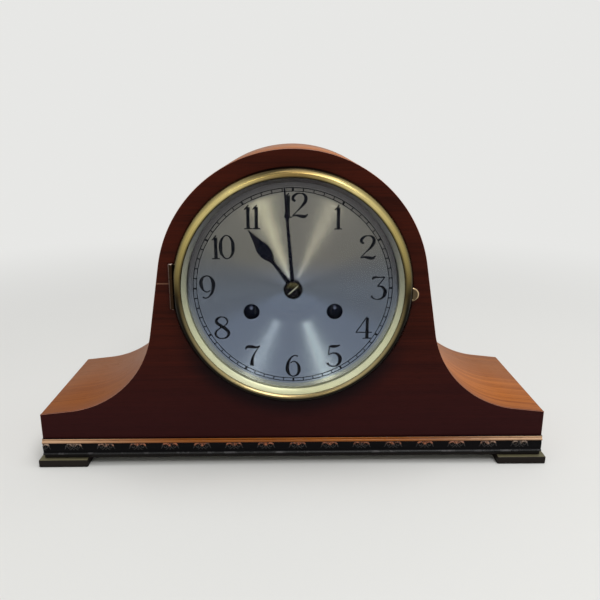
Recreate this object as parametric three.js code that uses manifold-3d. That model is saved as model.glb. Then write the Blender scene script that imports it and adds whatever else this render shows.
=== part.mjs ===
// Mantel clock in a low arched case with sweeping shoulders, a hinged brass bezel, and an eight-day
// striking movement with its pendulum, reached by a door in the back.
// Millimetres. X runs to the right as the dial is read, Y to the back, Z up. While the pieces are made,
// Y = 0 is the face of the front panel and Z = 0 the shelf. At the end the whole is moved along Y so
// that its origin lies under the middle of its box.
import * as THREE from 'three';
import { mergeVertices } from 'three/addons/utils/BufferGeometryUtils.js';
import Module from 'manifold-3d';

const wasm = await Module();
wasm.setup();

// ---------------------------------------------------------------- driving dimensions

const degrees = THREE.MathUtils.degToRad;

// Fits
const SEAT_GAP = 0.3; // between turned, bent or sloping pieces that seat on each other
const RUNNING_GAP = 0.3; // round a pivot, pipe or hinge pin that turns
const RING_SIDES = 36; // facets of the large rings
const HOLE_SIDES = 12; // facets of small holes and of what turns in them
const BOSS_SIDES = 16;

// Case
const CASE_WIDTH = 400;
const CASE_DEPTH = 122.7;
const FOOT_HEIGHT = 6.2;
const FOOT_LENGTH = 39.2;
const FOOT_DEPTH = 34;
const FOOT_OVERHANG = 4;
const FOOT_CORNER = 1.2;
const FOOT_CHAMFER = 0.8;
const BASE_REVEAL = 3.7; // edge of the base board left bare under the moulding
const BASE_THICKNESS = 14;
const MOULDING_HEIGHT = 13.8;
const MOULDING_PROJECTION = 2.6;
const BEAD_RADIUS = 0.8; // bead along the foot of the moulding
const ROUND_RADIUS = 1.2; // round along its top
const FIELD_INSET = 0.8; // carved field behind the moulding's reach
const FIELD_SWELL = 0.3;
const END_RISE = 20.5; // upright end of the body above the moulding
const SHOULDER_SLOPE = degrees(6.43);
const SWEEP_RADIUS = 76.6; // hollow curve between shoulder and flank
const FLANK_LEAN = degrees(9.57);
const ARCH_RADIUS = 101.7;
const ARCH_RISE = 102.7; // centre of the arch above the shoulder's corner
const SKIN_THICKNESS = 4;
const END_THICKNESS = 8;
const PANEL_THICKNESS = 9;
const FACE_VENEER = 1.2; // lip of the front panel that covers the skin's front edge
const BACK_THICKNESS = 8;
const BACK_RECESS = 1.5;

// Back door
const DOOR_HALF_WIDTH = 72;
const DOOR_SILL = 58; // height of the opening's lower edge above the shelf
const DOOR_THICKNESS = 5;
const DOOR_GAP = 0.6;
const DOOR_STOP = 5; // width of the rebate that the door closes on
const DOOR_HINGE_RISE = 42; // middle of the hinge above the sill
const DOOR_HINGE_LENGTH = 50;
const DOOR_HINGE_RADIUS = 1.8;
const DOOR_PIN_RADIUS = 0.8;
const DOOR_LEAF_WIDTH = 12;
const DOOR_LEAF_THICKNESS = 1.1;
const BUTTON_LENGTH = 20;
const BUTTON_WIDTH = 8;
const BUTTON_THICKNESS = 2.5;
const BUTTON_PIVOT_RADIUS = 1.6;
const BUTTON_OFFSET = 5; // pivot of the turn button from the door's free edge
const BUTTON_RISE = 48; // pivot of the turn button above the sill

// Dial, bezel and glass
const DIAL_RISE = 101.6; // centre of the dial above the shoulder's corner
const DIAL_SETBACK = 3; // face of the dial behind the face of the panel
const DIAL_THICKNESS = 1;
const DIAL_RADIUS = 82.3;
const DIAL_FIT = 0.6; // round the dial in its pan
const PAN_WALL = 0.8;
const PAN_FLANGE_WIDTH = 3.5; // on the face of the panel
const PAN_LEDGE_WIDTH = 8.3; // behind the edge of the dial
const BEZEL_FIT = 0.8; // skirt of the bezel round the pan's flange
const BEZEL_WALL = 2.2; // thickness of the skirt
const BEZEL_SHOULDER = 3.7; // from the inside of the skirt in to the glass's seat
const BEZEL_HEIGHT = 8.9;
const BEZEL_LIFT = 0.3; // back edge of the closed bezel off the panel
const BEZEL_SKIRT_DEPTH = 0.9;
const GLASS_LEDGE = 1.9; // lip of the bezel in front of the glass
const GLASS_RECESS = 2.6; // edge of the glass behind the bezel's crest
const GLASS_THICKNESS = 1.8;
const GLASS_DOME = 5;
const SIGHT_OVERLAP = 2.7; // sight ring over the edge of the dial
const SIGHT_INSET = 0.4; // sight ring inside the bezel's lip
const SIGHT_THICKNESS = 0.7;
const BEZEL_HINGE_INSET = 0.5; // hinge pin inside the edge of the bezel
const BEZEL_HINGE_RISE = 3;
const BEZEL_HINGE_LENGTH = 34;
const BEZEL_KNUCKLE_LENGTH = 11.4;
const BEZEL_HINGE_RADIUS = 2.1;
const BEZEL_PIN_RADIUS = 0.8;
const BEZEL_PIN_END = 0.5; // pin beyond each end of its leaf
const BEZEL_LEAF_THICKNESS = 0.8;
const BEZEL_WEB_THICKNESS = 2; // between knuckle and ring
const NOTCH_GAP = 0.5; // round the hinge in the bezel
const THUMB_RADIUS = 5.3;
const THUMB_INSET = 1.9; // centre of the thumb piece inside the edge of the bezel
const THUMB_DROP = 3.2;
const THUMB_THICKNESS = 2.6;
const THUMB_LIFT = 2.9; // back of the thumb piece off the panel
const WINDING_HOLE_RADIUS = 6.1;
const PIPE_HOLE_RADIUS = 4.2;

// Hands
const MINUTE_HAND_LENGTH = 76.5;
const HOUR_HAND_LENGTH = 55.6;
const HAND_THICKNESS = 0.8;
const HAND_SPACING = 0.85; // between the two hands
const MINUTE_HAND_ANGLE = degrees(-4.6); // clockwise from twelve
const HOUR_HAND_ANGLE = degrees(-36.5);
const MINUTE_BOSS_RADIUS = 5;
const HOUR_BOSS_RADIUS = 6.6;
const HAND_TO_DIAL = 4.3; // front of the minute hand before the dial
const HAND_NUT_RADIUS = 6.8;
const HAND_NUT_HEIGHT = 2;
const HAND_NUT_EDGE = 0.5;

// Movement frame
const BAR_THICKNESS = 2;
const BAR_WIDTH = 10;
const BAR_HALF_LENGTH = 80;
const BAR_OFFSET = 47; // mounting bars above and below the dial's centre
const PLATE_THICKNESS = 2;
const PLATE_SPACING = 38;
const PLATE_HALF_WIDTH = 57;
const PLATE_RISE = 52;
const PLATE_DROP = 51;
const PLATE_CORNER = 5;
const PILLAR_RADIUS = 3.5;
const PILLAR_NECK_RADIUS = 2.4;
const PILLAR_NECK = 4;
const PILLAR_INSET = 5;

// Arbors
const ARBOR_RADIUS = 1.1;
const SLIM_ARBOR_RADIUS = 0.85; // of the faster wheels, as thin as their pinions' roots
const PIVOT_RADIUS = 0.6;
const ARBOR_SIDES = 6;
const CENTRE_ARBOR_RADIUS = 1.6;
const CENTRE_NOSE_RADIUS = 1.2; // centre arbor inside the cannon pinion
const CANNON_RADIUS = 2.4;
const HOUR_PIPE_WALL = 0.85;
const END_SHAKE = 0.5; // between an arbor's shoulder and the plate
const PIVOT_END = 0.2; // end of a pivot inside the plate's outer face

// Winding
const BARREL_SPREAD = 63.2; // between the two winding arbors
const BARREL_DROP = 18.4; // winding arbors below the dial's centre
const BARREL_RADIUS = 25.5;
const BARREL_LENGTH = 25.8;
const BARREL_SIDES = 24;
const WINDING_ARBOR_RADIUS = 3.5;
const WINDING_PIVOT_RADIUS = 2;
const WINDING_SQUARE = 5;
const WINDING_SQUARE_LENGTH = 3.2;
const RATCHET_TEETH = 16;
const RATCHET_RADIUS = 9;
const RATCHET_ROOT_RADIUS = 7.3;
const RATCHET_THICKNESS = 2;
const CLICK_DISTANCE = 14; // click's stud from the winding arbor
const CLICK_HUB_RADIUS = 2.6;
const CLICK_NOSE_WIDTH = 1.3;
const CLICK_REACH = degrees(38); // nose of the click from its stud, round the winding arbor
const STUD_RADIUS = 0.9;
const STUD_END = 0.5; // stud beyond the piece that turns on it

// Gearing: module in millimetres, teeth of wheel and pinion
const GREAT = { module: 1.125, wheel: 48, pinion: 8, face: 2 };
const CENTRE_DRIVE = { module: 0.96, wheel: 40, pinion: 10, face: 1.4 };
const THIRD_DRIVE = { module: 0.58, wheel: 72, pinion: 6, face: 1.4 };
const ESCAPE_DRIVE = { module: 0.49, wheel: 66, pinion: 6, face: 1 };
const PIN_DRIVE = { module: 0.68, wheel: 48, pinion: 6, face: 1.4 };
const FLY_DRIVE = { module: 0.52, wheel: 48, pinion: 6, face: 1.2 };
const MINUTE_DRIVE = { wheel: 30, pinion: 10, face: 1.2 };
const HOUR_DRIVE = { module: 0.6, wheel: 32, pinion: 8, face: 1.2 };
const WHEEL_ADDENDUM = 1.15; // in modules
const WHEEL_DEDENDUM = 1.35;
const PINION_ADDENDUM = 0.6;
const PINION_DEDENDUM = 1.4;
const LEAF_CREST = 0.16; // in pitches
const PINION_OVERLAP = 0.8; // pinion longer than the wheel it meets, at each end
const MOTION_WORK_GAP = 0.8; // between the wheels under the dial and what lies behind them
const WHEEL_ARMS = 4;
const WHEEL_ARM_WIDTH = 1.6;
const WHEEL_HUB_RADIUS = 3.2;
const RIM_WIDTH = 1; // inside the roots of the teeth

// Where the wheels stand between the plates, from the front plate's inner face
const GREAT_WHEEL_AT = 1.2;
const FLY_BLADE_AT = 5;
const ESCAPE_WHEEL_AT = 22.8;
const GATHERING_WHEEL_AT = 25;
const THIRD_WHEEL_AT = 29.5;
const SECOND_WHEEL_AT = 31.2; // intermediate wheel and pin wheel
const CENTRE_WHEEL_AT = 34.5;

// Escapement and pendulum
const ESCAPE_RISE = 26; // escape arbor above the centre arbor
const ESCAPE_TEETH = 42;
const ESCAPE_RADIUS = 11;
const ESCAPE_ROOT_RADIUS = 9.4;
const ESCAPE_HUB_RADIUS = 2.6;
const ESCAPE_THICKNESS = 1;
const PALLET_SPAN = degrees(72.9);
const PALLET_CLEARANCE = 0.6; // keeps the pallets off the teeth through the whole swing
const ANCHOR_THICKNESS = 1.8;
const ANCHOR_DEPTH = 3.4; // of its arms
const ANCHOR_HUB_RADIUS = 2.4;
const PALLET_TOE = degrees(6.9); // beyond the pallet's inner edge
const PALLET_TOE_DEPTH = 1.2;
const CRUTCH_LENGTH = 26;
const CRUTCH_WIDTH = 3.2;
const CRUTCH_THICKNESS = 1.2;
const CRUTCH_FORK = 6; // height of the fork round the pendulum rod
const PENDULUM_LENGTH = 104.8; // for 11,088 beats an hour
const PENDULUM_SETBACK = 7; // rod behind the back plate
const PENDULUM_ROD_WIDTH = 3;
const PENDULUM_ROD_THICKNESS = 1;
const BOB_RADIUS = 16;
const BOB_THICKNESS = 9;
const BOB_EDGE = 2.4;
const RATING_NUT_RADIUS = 3.6;
const RATING_NUT_HEIGHT = 3;
const ROD_TAIL = 4; // rod below the rating nut
const COCK_CLEARANCE = 2; // clamp of the suspension above the anchor's arbor
const COCK_CLAMP_HEIGHT = 3;
const COCK_CLAMP_WIDTH = 6;
const COCK_CLAMP_DEPTH = 5;
const COCK_SHELF_WIDTH = 9;
const COCK_SHELF_THICKNESS = 2.5;
const COCK_FOOT_WIDTH = 22;
const COCK_FOOT_THICKNESS = 1.8;
const COCK_FOOT_RISE = 5; // above the shelf

// Strike and gong
const PIN_ARBOR_ANGLE = degrees(105.5);
const GATHERING_ARBOR_ANGLE = degrees(70);
const FLY_ARBOR_ANGLE = degrees(60);
const FLY_RADIUS = 9;
const FLY_LENGTH = 14;
const FLY_THICKNESS = 0.8;
const FLY_ANGLE = degrees(35); // as it stopped
const STRIKE_PINS = 8;
const STRIKE_PIN_CIRCLE = 13.2;
const STRIKE_PIN_RADIUS = 0.8;
const STRIKE_PIN_LENGTH = 3;
const HAMMER_ARBOR_REACH = 52; // left of the dial's centre
const HAMMER_ARBOR_RISE = 28;
const HAMMER_RADIUS = 5.5;
const HAMMER_LENGTH = 13;
const HAMMER_GAP = 1; // hammer at rest off the gong
const HAMMER_WIRE_RADIUS = 1.2;
const HAMMER_HUB_RADIUS = 3;
const HAMMER_HUB_LENGTH = 4;
const HAMMER_HUB_GAP = 1; // hub behind the back plate
const HAMMER_TAIL_WIDTH = 2;
const GONG_REACH = 14; // centre of the coil left of the dial's centre
const GONG_DROP = 62;
const GONG_SETBACK = 21; // middle of the coil behind the back plate
const GONG_RADIUS = 46;
const GONG_TURNS = 3.65;
const GONG_STEPS = 70;
const GONG_STRIP_WIDTH = 4;
const GONG_STRIP_THICKNESS = 2.2;
const GONG_HEAD_RADIUS = 9.5;
const GONG_POST_WIDTH = 10;
const GONG_POST_GAP = 3; // behind the coil
const GONG_FOOT_LENGTH = 44;
const GONG_FOOT_MARGIN = 8; // before and behind the post
const GONG_FOOT_THICKNESS = 5;
const GONG_FOOT_CORNER = 5;

// ---------------------------------------------------------------- places worked out from them

const BASE_BOTTOM = FOOT_HEIGHT;
const BASE_TOP = BASE_BOTTOM + BASE_THICKNESS;
const MOULDING_BOTTOM = BASE_BOTTOM + BASE_REVEAL;
const SHOULDER_HEIGHT = MOULDING_BOTTOM + MOULDING_HEIGHT + END_RISE;
const HALF_WIDTH = CASE_WIDTH / 2;
const DIAL_HEIGHT = SHOULDER_HEIGHT + DIAL_RISE;
const ARCH_CENTRE = new THREE.Vector2(0, SHOULDER_HEIGHT + ARCH_RISE);
const BACK_FACE = CASE_DEPTH - BACK_RECESS;

const DIAL_BACK = DIAL_SETBACK + DIAL_THICKNESS;
const PAN_INNER = DIAL_RADIUS + DIAL_FIT;
const PAN_OUTER = PAN_INNER + PAN_WALL;
const DIAL_HOLE_RADIUS = PAN_OUTER + SEAT_GAP; // hole in the front panel
const PAN_FLANGE_RADIUS = DIAL_HOLE_RADIUS + PAN_FLANGE_WIDTH;
const BEZEL_SKIRT_RADIUS = PAN_FLANGE_RADIUS + BEZEL_FIT;
const BEZEL_RADIUS = BEZEL_SKIRT_RADIUS + BEZEL_WALL;
const BEZEL_SEAT_RADIUS = BEZEL_SKIRT_RADIUS - BEZEL_SHOULDER;
const BEZEL_LIP_RADIUS = BEZEL_SEAT_RADIUS - GLASS_LEDGE;
const GLASS_RADIUS = BEZEL_SEAT_RADIUS - SEAT_GAP;
const GLASS_EDGE = -BEZEL_HEIGHT + GLASS_RECESS;
const GLASS_APEX = GLASS_EDGE - GLASS_DOME;
const BEZEL_HINGE_X = -(BEZEL_RADIUS - BEZEL_HINGE_INSET);
const BEZEL_HINGE_Y = -(BEZEL_LEAF_THICKNESS + BEZEL_HINGE_RADIUS + RUNNING_GAP);
const MINUTE_HAND_FRONT = DIAL_SETBACK - HAND_TO_DIAL;
const HOUR_HAND_FRONT = MINUTE_HAND_FRONT + HAND_THICKNESS + HAND_SPACING;

const FRONT_PLATE = PANEL_THICKNESS + BAR_THICKNESS;
const INNER_FRONT = FRONT_PLATE + PLATE_THICKNESS;
const INNER_BACK = INNER_FRONT + PLATE_SPACING;
const BACK_PLATE_REAR = INNER_BACK + PLATE_THICKNESS;
const ROD_Y = BACK_PLATE_REAR + PENDULUM_SETBACK;
const GONG_Y = BACK_PLATE_REAR + GONG_SETBACK;
const BARREL_BACK = INNER_FRONT + GREAT_WHEEL_AT + GREAT.face + BARREL_LENGTH;
const MINUTE_WHEEL_Y = FRONT_PLATE - MOTION_WORK_GAP - MINUTE_DRIVE.face;
const HOUR_WHEEL_Y = MINUTE_WHEEL_Y - 2 * MOTION_WORK_GAP - HOUR_DRIVE.face;
const RATCHET_BACK = FRONT_PLATE - END_SHAKE;
const RATCHET_FRONT = RATCHET_BACK - RATCHET_THICKNESS;

// ---------------------------------------------------------------- drawing helpers

const at = (x, z) => new THREE.Vector2(x, z);
const polar = (angle, radius, centre = at(0, 0)) =>
  at(centre.x + radius * Math.cos(angle), centre.y + radius * Math.sin(angle));

// Points of an arc, both ends included.
function arc(centre, radius, from, to, steps) {
  const points = [];
  for (let i = 0; i <= steps; i += 1) {
    points.push(polar(from + ((to - from) * i) / steps, radius, centre));
  }
  return points;
}

function circle(radius, sides, centre = at(0, 0)) {
  return arc(centre, radius, 0, 2 * Math.PI * (1 - 1 / sides), sides - 1);
}

function roundedRectangle(x0, z0, x1, z1, radius) {
  const quarter = Math.PI / 2;
  return [
    ...arc(at(x1 - radius, z0 + radius), radius, -quarter, 0, 3),
    ...arc(at(x1 - radius, z1 - radius), radius, 0, quarter, 3),
    ...arc(at(x0 + radius, z1 - radius), radius, quarter, 2 * quarter, 3),
    ...arc(at(x0 + radius, z0 + radius), radius, 2 * quarter, 3 * quarter, 3),
  ];
}

// An outline drawn in X and Z, with holes, made into a slab from yFront to yBack.
function slab(outline, yFront, yBack, holes = []) {
  const shape = new THREE.Shape(outline);
  holes.forEach((hole) => shape.holes.push(new THREE.Path(hole)));
  const geometry = new THREE.ExtrudeGeometry(shape, { depth: yBack - yFront, bevelEnabled: false });
  return geometry.rotateX(Math.PI / 2).translate(0, yBack, 0);
}

// An outline drawn in X and Y, made into a block from zLow to zHigh.
function upright(outline, zLow, zHigh, holes = []) {
  const shape = new THREE.Shape(outline);
  holes.forEach((hole) => shape.holes.push(new THREE.Path(hole)));
  const geometry = new THREE.ExtrudeGeometry(shape, { depth: zHigh - zLow, bevelEnabled: false });
  return geometry.translate(0, 0, zLow);
}

// A profile of [radius, y] pairs, turned about the Y axis. It either starts and ends on the axis
// or is closed on itself.
function turned(profile, sides) {
  const points = profile.map(([radius, y]) => new THREE.Vector2(radius, y));
  if (THREE.ShapeUtils.isClockWise(points)) {
    points.reverse();
  }
  if (points[0].x > 0) {
    points.push(points[0].clone());
  }
  return new THREE.LatheGeometry(points, sides);
}

// A shaft along Y given as [radius, y] steps from its front end to its back end.
function shaft(steps, sides = ARBOR_SIDES) {
  const profile = [[0, steps[0][1]]];
  for (let i = 0; i < steps.length - 1; i += 1) {
    profile.push([steps[i][0], steps[i][1]], [steps[i][0], steps[i + 1][1]]);
  }
  profile.push([0, steps[steps.length - 1][1]]);
  return turned(profile, sides);
}

function box(x0, y0, z0, x1, y1, z1) {
  const geometry = new THREE.BoxGeometry(x1 - x0, y1 - y0, z1 - z0);
  return geometry.translate((x0 + x1) / 2, (y0 + y1) / 2, (z0 + z1) / 2);
}

// ---------------------------------------------------------------- joining and cutting

function solid(geometry) {
  const bare = geometry.clone();
  bare.deleteAttribute('normal');
  bare.deleteAttribute('uv');
  const merged = mergeVertices(bare, 1e-4);
  const mesh = new wasm.Mesh({
    numProp: 3,
    vertProperties: new Float32Array(merged.attributes.position.array),
    triVerts: new Uint32Array(merged.index.array),
  });
  return new wasm.Manifold(mesh);
}

function geometryOf(manifold) {
  const mesh = manifold.getMesh();
  const geometry = new THREE.BufferGeometry();
  geometry.setAttribute('position', new THREE.BufferAttribute(mesh.vertProperties, 3));
  geometry.setIndex(new THREE.BufferAttribute(mesh.triVerts, 1));
  geometry.computeVertexNormals();
  return geometry;
}

const join = (...pieces) => geometryOf(pieces.map(solid).reduce((all, piece) => all.add(piece)));
const cut = (piece, ...tools) =>
  geometryOf(tools.map(solid).reduce((left, tool) => left.subtract(tool), solid(piece)));

// ---------------------------------------------------------------- materials

const material = (color, roughness, metalness) =>
  new THREE.MeshStandardMaterial({ color, roughness, metalness });

const MATERIALS = {
  faceWood: material(0x3c1a08, 0.32, 0),
  skinWood: material(0x8c5a32, 0.25, 0),
  carvedWood: material(0x4a3322, 0.5, 0),
  stainedWood: material(0x231c1a, 0.55, 0),
  backWood: material(0x6b4a2c, 0.65, 0),
  brass: material(0xb08d45, 0.3, 1),
  sightBrass: material(0xc8c39b, 0.35, 1),
  silvered: material(0x8f9294, 0.4, 1),
  blued: material(0x14161f, 0.3, 1),
  steel: material(0x8a8c90, 0.35, 1),
  iron: material(0x2b2a29, 0.6, 0.6),
  glass: new THREE.MeshStandardMaterial({
    color: 0xdfe8ea,
    roughness: 0.05,
    metalness: 0,
    transparent: true,
    opacity: 0.2,
  }),
};

const clock = new THREE.Group();

function add(name, geometry, finish, parent = clock) {
  const mesh = new THREE.Mesh(geometry, MATERIALS[finish]);
  mesh.name = name;
  parent.add(mesh);
  return mesh;
}

// Everything placed from the dial's centre hangs in this group.
const works = new THREE.Group();
works.position.z = DIAL_HEIGHT;
clock.add(works);

// ---------------------------------------------------------------- outline of the case

// Centre of the hollow sweep, which is tangent to the flank and to the shoulder's slope.
function sweepCentre() {
  const flank = polar(FLANK_LEAN, 1);
  const slope = at(Math.sin(SHOULDER_SLOPE), Math.cos(SHOULDER_SLOPE));
  const flankReach = SWEEP_RADIUS + ARCH_RADIUS + ARCH_CENTRE.dot(flank);
  const slopeReach = SWEEP_RADIUS + at(HALF_WIDTH, SHOULDER_HEIGHT).dot(slope);
  const spread = flank.x * slope.y - flank.y * slope.x;
  return at(
    (flankReach * slope.y - slopeReach * flank.y) / spread,
    (flank.x * slopeReach - slope.x * flankReach) / spread,
  );
}

// Right half of the top edge, set in by inset, from the crown to the upright at endX.
function rightEdge(inset, endX) {
  const crown = arc(ARCH_CENTRE, ARCH_RADIUS - inset, Math.PI / 2, FLANK_LEAN, 12);
  const sweepFrom = Math.PI + FLANK_LEAN;
  const sweepTo = 1.5 * Math.PI - SHOULDER_SLOPE;
  const sweep = arc(sweepCentre(), SWEEP_RADIUS + inset, sweepFrom, sweepTo, 9);
  const foot = sweep[sweep.length - 1];
  const shoulder = at(endX, foot.y - (endX - foot.x) * Math.tan(SHOULDER_SLOPE));
  return [...crown, ...sweep, shoulder];
}

// Whole top edge from the right shoulder over the crown to the left one.
function topEdge(inset, endX) {
  const right = rightEdge(inset, endX);
  const left = right.slice(1).map((point) => at(-point.x, point.y));
  return [...right.reverse(), ...left];
}

// Outline of a panel that stands on the base board.
function panelOutline(inset, endX) {
  return [at(-endX, BASE_TOP), at(endX, BASE_TOP), ...topEdge(inset, endX)];
}

const CORE_INSET = SKIN_THICKNESS + SEAT_GAP;
const CORE_END = HALF_WIDTH - END_THICKNESS - SEAT_GAP;

// ---------------------------------------------------------------- case

function frontPanel() {
  const hole = circle(DIAL_HOLE_RADIUS, RING_SIDES, at(0, DIAL_HEIGHT));
  const face = slab(panelOutline(0, HALF_WIDTH), 0, FACE_VENEER, [hole]);
  const core = slab(panelOutline(CORE_INSET, CORE_END), FACE_VENEER, PANEL_THICKNESS, [hole]);
  add('front_panel', join(face, core), 'faceWood');
}

function topSkin() {
  const outer = topEdge(0, HALF_WIDTH);
  const inner = topEdge(SKIN_THICKNESS, HALF_WIDTH);
  const band = [...outer, ...inner.reverse()];
  add('top_skin', slab(band, FACE_VENEER + SEAT_GAP, CASE_DEPTH), 'skinWood');
}

function endBlock(name, side) {
  const inner = HALF_WIDTH - END_THICKNESS;
  const underside = rightEdge(SKIN_THICKNESS + SEAT_GAP, HALF_WIDTH);
  const low = underside[underside.length - 1];
  const high = at(inner, low.y + END_THICKNESS * Math.tan(SHOULDER_SLOPE));
  const outline = [at(inner, BASE_TOP), at(HALF_WIDTH, BASE_TOP), low, high];
  const placed = outline.map((point) => at(point.x * side, point.y));
  add(name, slab(placed, FACE_VENEER + SEAT_GAP, CASE_DEPTH), 'skinWood');
}

// Arched outline of the back opening, set in by inset from the opening's edge.
function doorOutline(inset) {
  const halfWidth = DOOR_HALF_WIDTH - inset;
  const low = DOOR_SILL + inset;
  return [at(-halfWidth, low), at(halfWidth, low), ...arc(ARCH_CENTRE, halfWidth, 0, Math.PI, 16)];
}

const BUTTON_PLACE = at(-DOOR_HALF_WIDTH - BUTTON_OFFSET, DOOR_SILL + BUTTON_RISE);

function backPanel() {
  const front = BACK_FACE - BACK_THICKNESS;
  const step = BACK_FACE - DOOR_THICKNESS - DOOR_GAP;
  const outline = panelOutline(CORE_INSET, CORE_END);
  const stop = slab(outline, front, step, [doorOutline(DOOR_STOP)]);
  const pivot = circle(BUTTON_PIVOT_RADIUS + RUNNING_GAP, HOLE_SIDES, BUTTON_PLACE);
  const frame = slab(outline, step, BACK_FACE, [doorOutline(0), pivot]);
  add('back_panel', join(stop, frame), 'backWood');
}

function baseBoard() {
  const board = box(-HALF_WIDTH, 0, BASE_BOTTOM, HALF_WIDTH, CASE_DEPTH, BASE_TOP);
  add('base_board', board, 'stainedWood');
}

// Section of the applied moulding from its lower back edge: bead, carved field, quirk, round and fillet.
function mouldingSection() {
  const field = MOULDING_PROJECTION - FIELD_INSET;
  const beadHeight = 1.5 * BEAD_RADIUS;
  const roundHeight = MOULDING_HEIGHT - 1.75 * ROUND_RADIUS;
  const fieldLow = beadHeight + BEAD_RADIUS + FIELD_SWELL;
  const fieldHigh = roundHeight - ROUND_RADIUS - FIELD_INSET;
  const lean = Math.PI / 3;
  return [
    at(0, 0),
    at(field, 0),
    ...arc(at(MOULDING_PROJECTION - BEAD_RADIUS, beadHeight), BEAD_RADIUS, -lean, Math.PI / 2, 4),
    at(field - FIELD_SWELL, fieldLow),
    at(field, (fieldLow + fieldHigh) / 2),
    at(field - FIELD_SWELL, fieldHigh),
    at(field - FIELD_INSET, fieldHigh + FIELD_SWELL),
    ...arc(at(MOULDING_PROJECTION - ROUND_RADIUS, roundHeight), ROUND_RADIUS, -lean, lean, 4),
    at(field, MOULDING_HEIGHT - FIELD_INSET),
    at(field, MOULDING_HEIGHT),
    at(0, MOULDING_HEIGHT),
  ];
}

function frontMoulding() {
  const shape = new THREE.Shape(mouldingSection());
  const geometry = new THREE.ExtrudeGeometry(shape, { depth: CASE_WIDTH, bevelEnabled: false });
  const forward = new THREE.Vector3(0, -1, 0);
  const up = new THREE.Vector3(0, 0, 1);
  const left = new THREE.Vector3(-1, 0, 0);
  geometry.applyMatrix4(new THREE.Matrix4().makeBasis(forward, up, left));
  add('front_moulding', geometry.translate(HALF_WIDTH, 0, MOULDING_BOTTOM), 'carvedWood');
}

function foot(name, side, atBack) {
  const outer = HALF_WIDTH + FOOT_OVERHANG;
  const near = atBack ? CASE_DEPTH - FOOT_DEPTH : -FOOT_OVERHANG;
  const ends = [side * outer, side * (outer - FOOT_LENGTH)].sort((a, b) => a - b);
  const outline = roundedRectangle(ends[0], near, ends[1], near + FOOT_DEPTH, FOOT_CORNER);
  const geometry = new THREE.ExtrudeGeometry(new THREE.Shape(outline), {
    depth: FOOT_HEIGHT - 2 * FOOT_CHAMFER,
    bevelThickness: FOOT_CHAMFER,
    bevelSize: FOOT_CHAMFER,
    bevelOffset: -FOOT_CHAMFER,
    bevelSegments: 1,
  });
  add(name, geometry.translate(0, 0, FOOT_CHAMFER), 'stainedWood');
}

// ---------------------------------------------------------------- back door

// Section of a butt hinge seen along its pin, the pin at the origin and the wood on the -Y side.
function hingeLeaf(side, knuckles, length, pinRadius) {
  const wood = -DOOR_HINGE_RADIUS;
  const plate = (near, low, high) => {
    const ends = [side * near, side * DOOR_LEAF_WIDTH].sort((a, b) => a - b);
    return box(ends[0], wood, low, ends[1], wood + DOOR_LEAF_THICKNESS, high);
  };
  const sleeve = ([low, high]) => upright(circle(DOOR_HINGE_RADIUS, HOLE_SIDES), low, high);
  const whole = join(
    plate(DOOR_HINGE_RADIUS + RUNNING_GAP, -length / 2, length / 2),
    ...knuckles.map(sleeve),
    ...knuckles.map(([low, high]) => plate(0, low, high)),
  );
  if (pinRadius > 0) {
    return cut(whole, upright(circle(pinRadius, HOLE_SIDES), -length, length));
  }
  return whole;
}

const DOOR_HINGE_PLACE = [DOOR_HALF_WIDTH, BACK_FACE + DOOR_HINGE_RADIUS, DOOR_SILL + DOOR_HINGE_RISE];

function backDoor() {
  add('back_door', slab(doorOutline(DOOR_GAP), BACK_FACE - DOOR_THICKNESS, BACK_FACE), 'backWood');
  const third = DOOR_HINGE_LENGTH / 6;
  const half = DOOR_HINGE_LENGTH / 2;
  const outerKnuckles = [[-half, -third - RUNNING_GAP], [third + RUNNING_GAP, half]];
  const fixed = hingeLeaf(1, outerKnuckles, DOOR_HINGE_LENGTH, 0);
  const pin = upright(circle(DOOR_PIN_RADIUS, HOLE_SIDES), -half, half);
  add('door_hinge_fixed_leaf', join(fixed, pin), 'brass').position.set(...DOOR_HINGE_PLACE);
  const bore = DOOR_PIN_RADIUS + RUNNING_GAP;
  const moving = hingeLeaf(-1, [[-third, third]], DOOR_HINGE_LENGTH, bore);
  add('door_hinge_moving_leaf', moving, 'brass').position.set(...DOOR_HINGE_PLACE);
}

function doorTurnButton() {
  const half = BUTTON_WIDTH / 2;
  const straight = BUTTON_LENGTH / 2 - half;
  const outline = [
    ...arc(at(0, straight), half, 0, Math.PI, 8),
    ...arc(at(0, -straight), half, Math.PI, 2 * Math.PI, 8),
  ];
  const bar = slab(outline, SEAT_GAP, SEAT_GAP + BUTTON_THICKNESS);
  const pivotFront = SEAT_GAP - DOOR_THICKNESS;
  const pivot = shaft([[BUTTON_PIVOT_RADIUS, pivotFront], [0, BUTTON_THICKNESS]], HOLE_SIDES);
  const button = add('door_turn_button', join(bar, pivot), 'brass');
  button.position.set(BUTTON_PLACE.x, BACK_FACE, BUTTON_PLACE.y);
}

// ---------------------------------------------------------------- dial, bezel and glass

function dialPan() {
  const profile = [
    [PAN_INNER, -BEZEL_LEAF_THICKNESS],
    [PAN_FLANGE_RADIUS, -BEZEL_LEAF_THICKNESS],
    [PAN_FLANGE_RADIUS, 0],
    [PAN_OUTER, 0],
    [PAN_OUTER, DIAL_BACK + PAN_WALL],
    [DIAL_RADIUS - PAN_LEDGE_WIDTH, DIAL_BACK + PAN_WALL],
    [DIAL_RADIUS - PAN_LEDGE_WIDTH, DIAL_BACK],
    [PAN_INNER, DIAL_BACK],
  ];
  add('dial_pan', turned(profile, RING_SIDES), 'brass', works);
}

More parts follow.
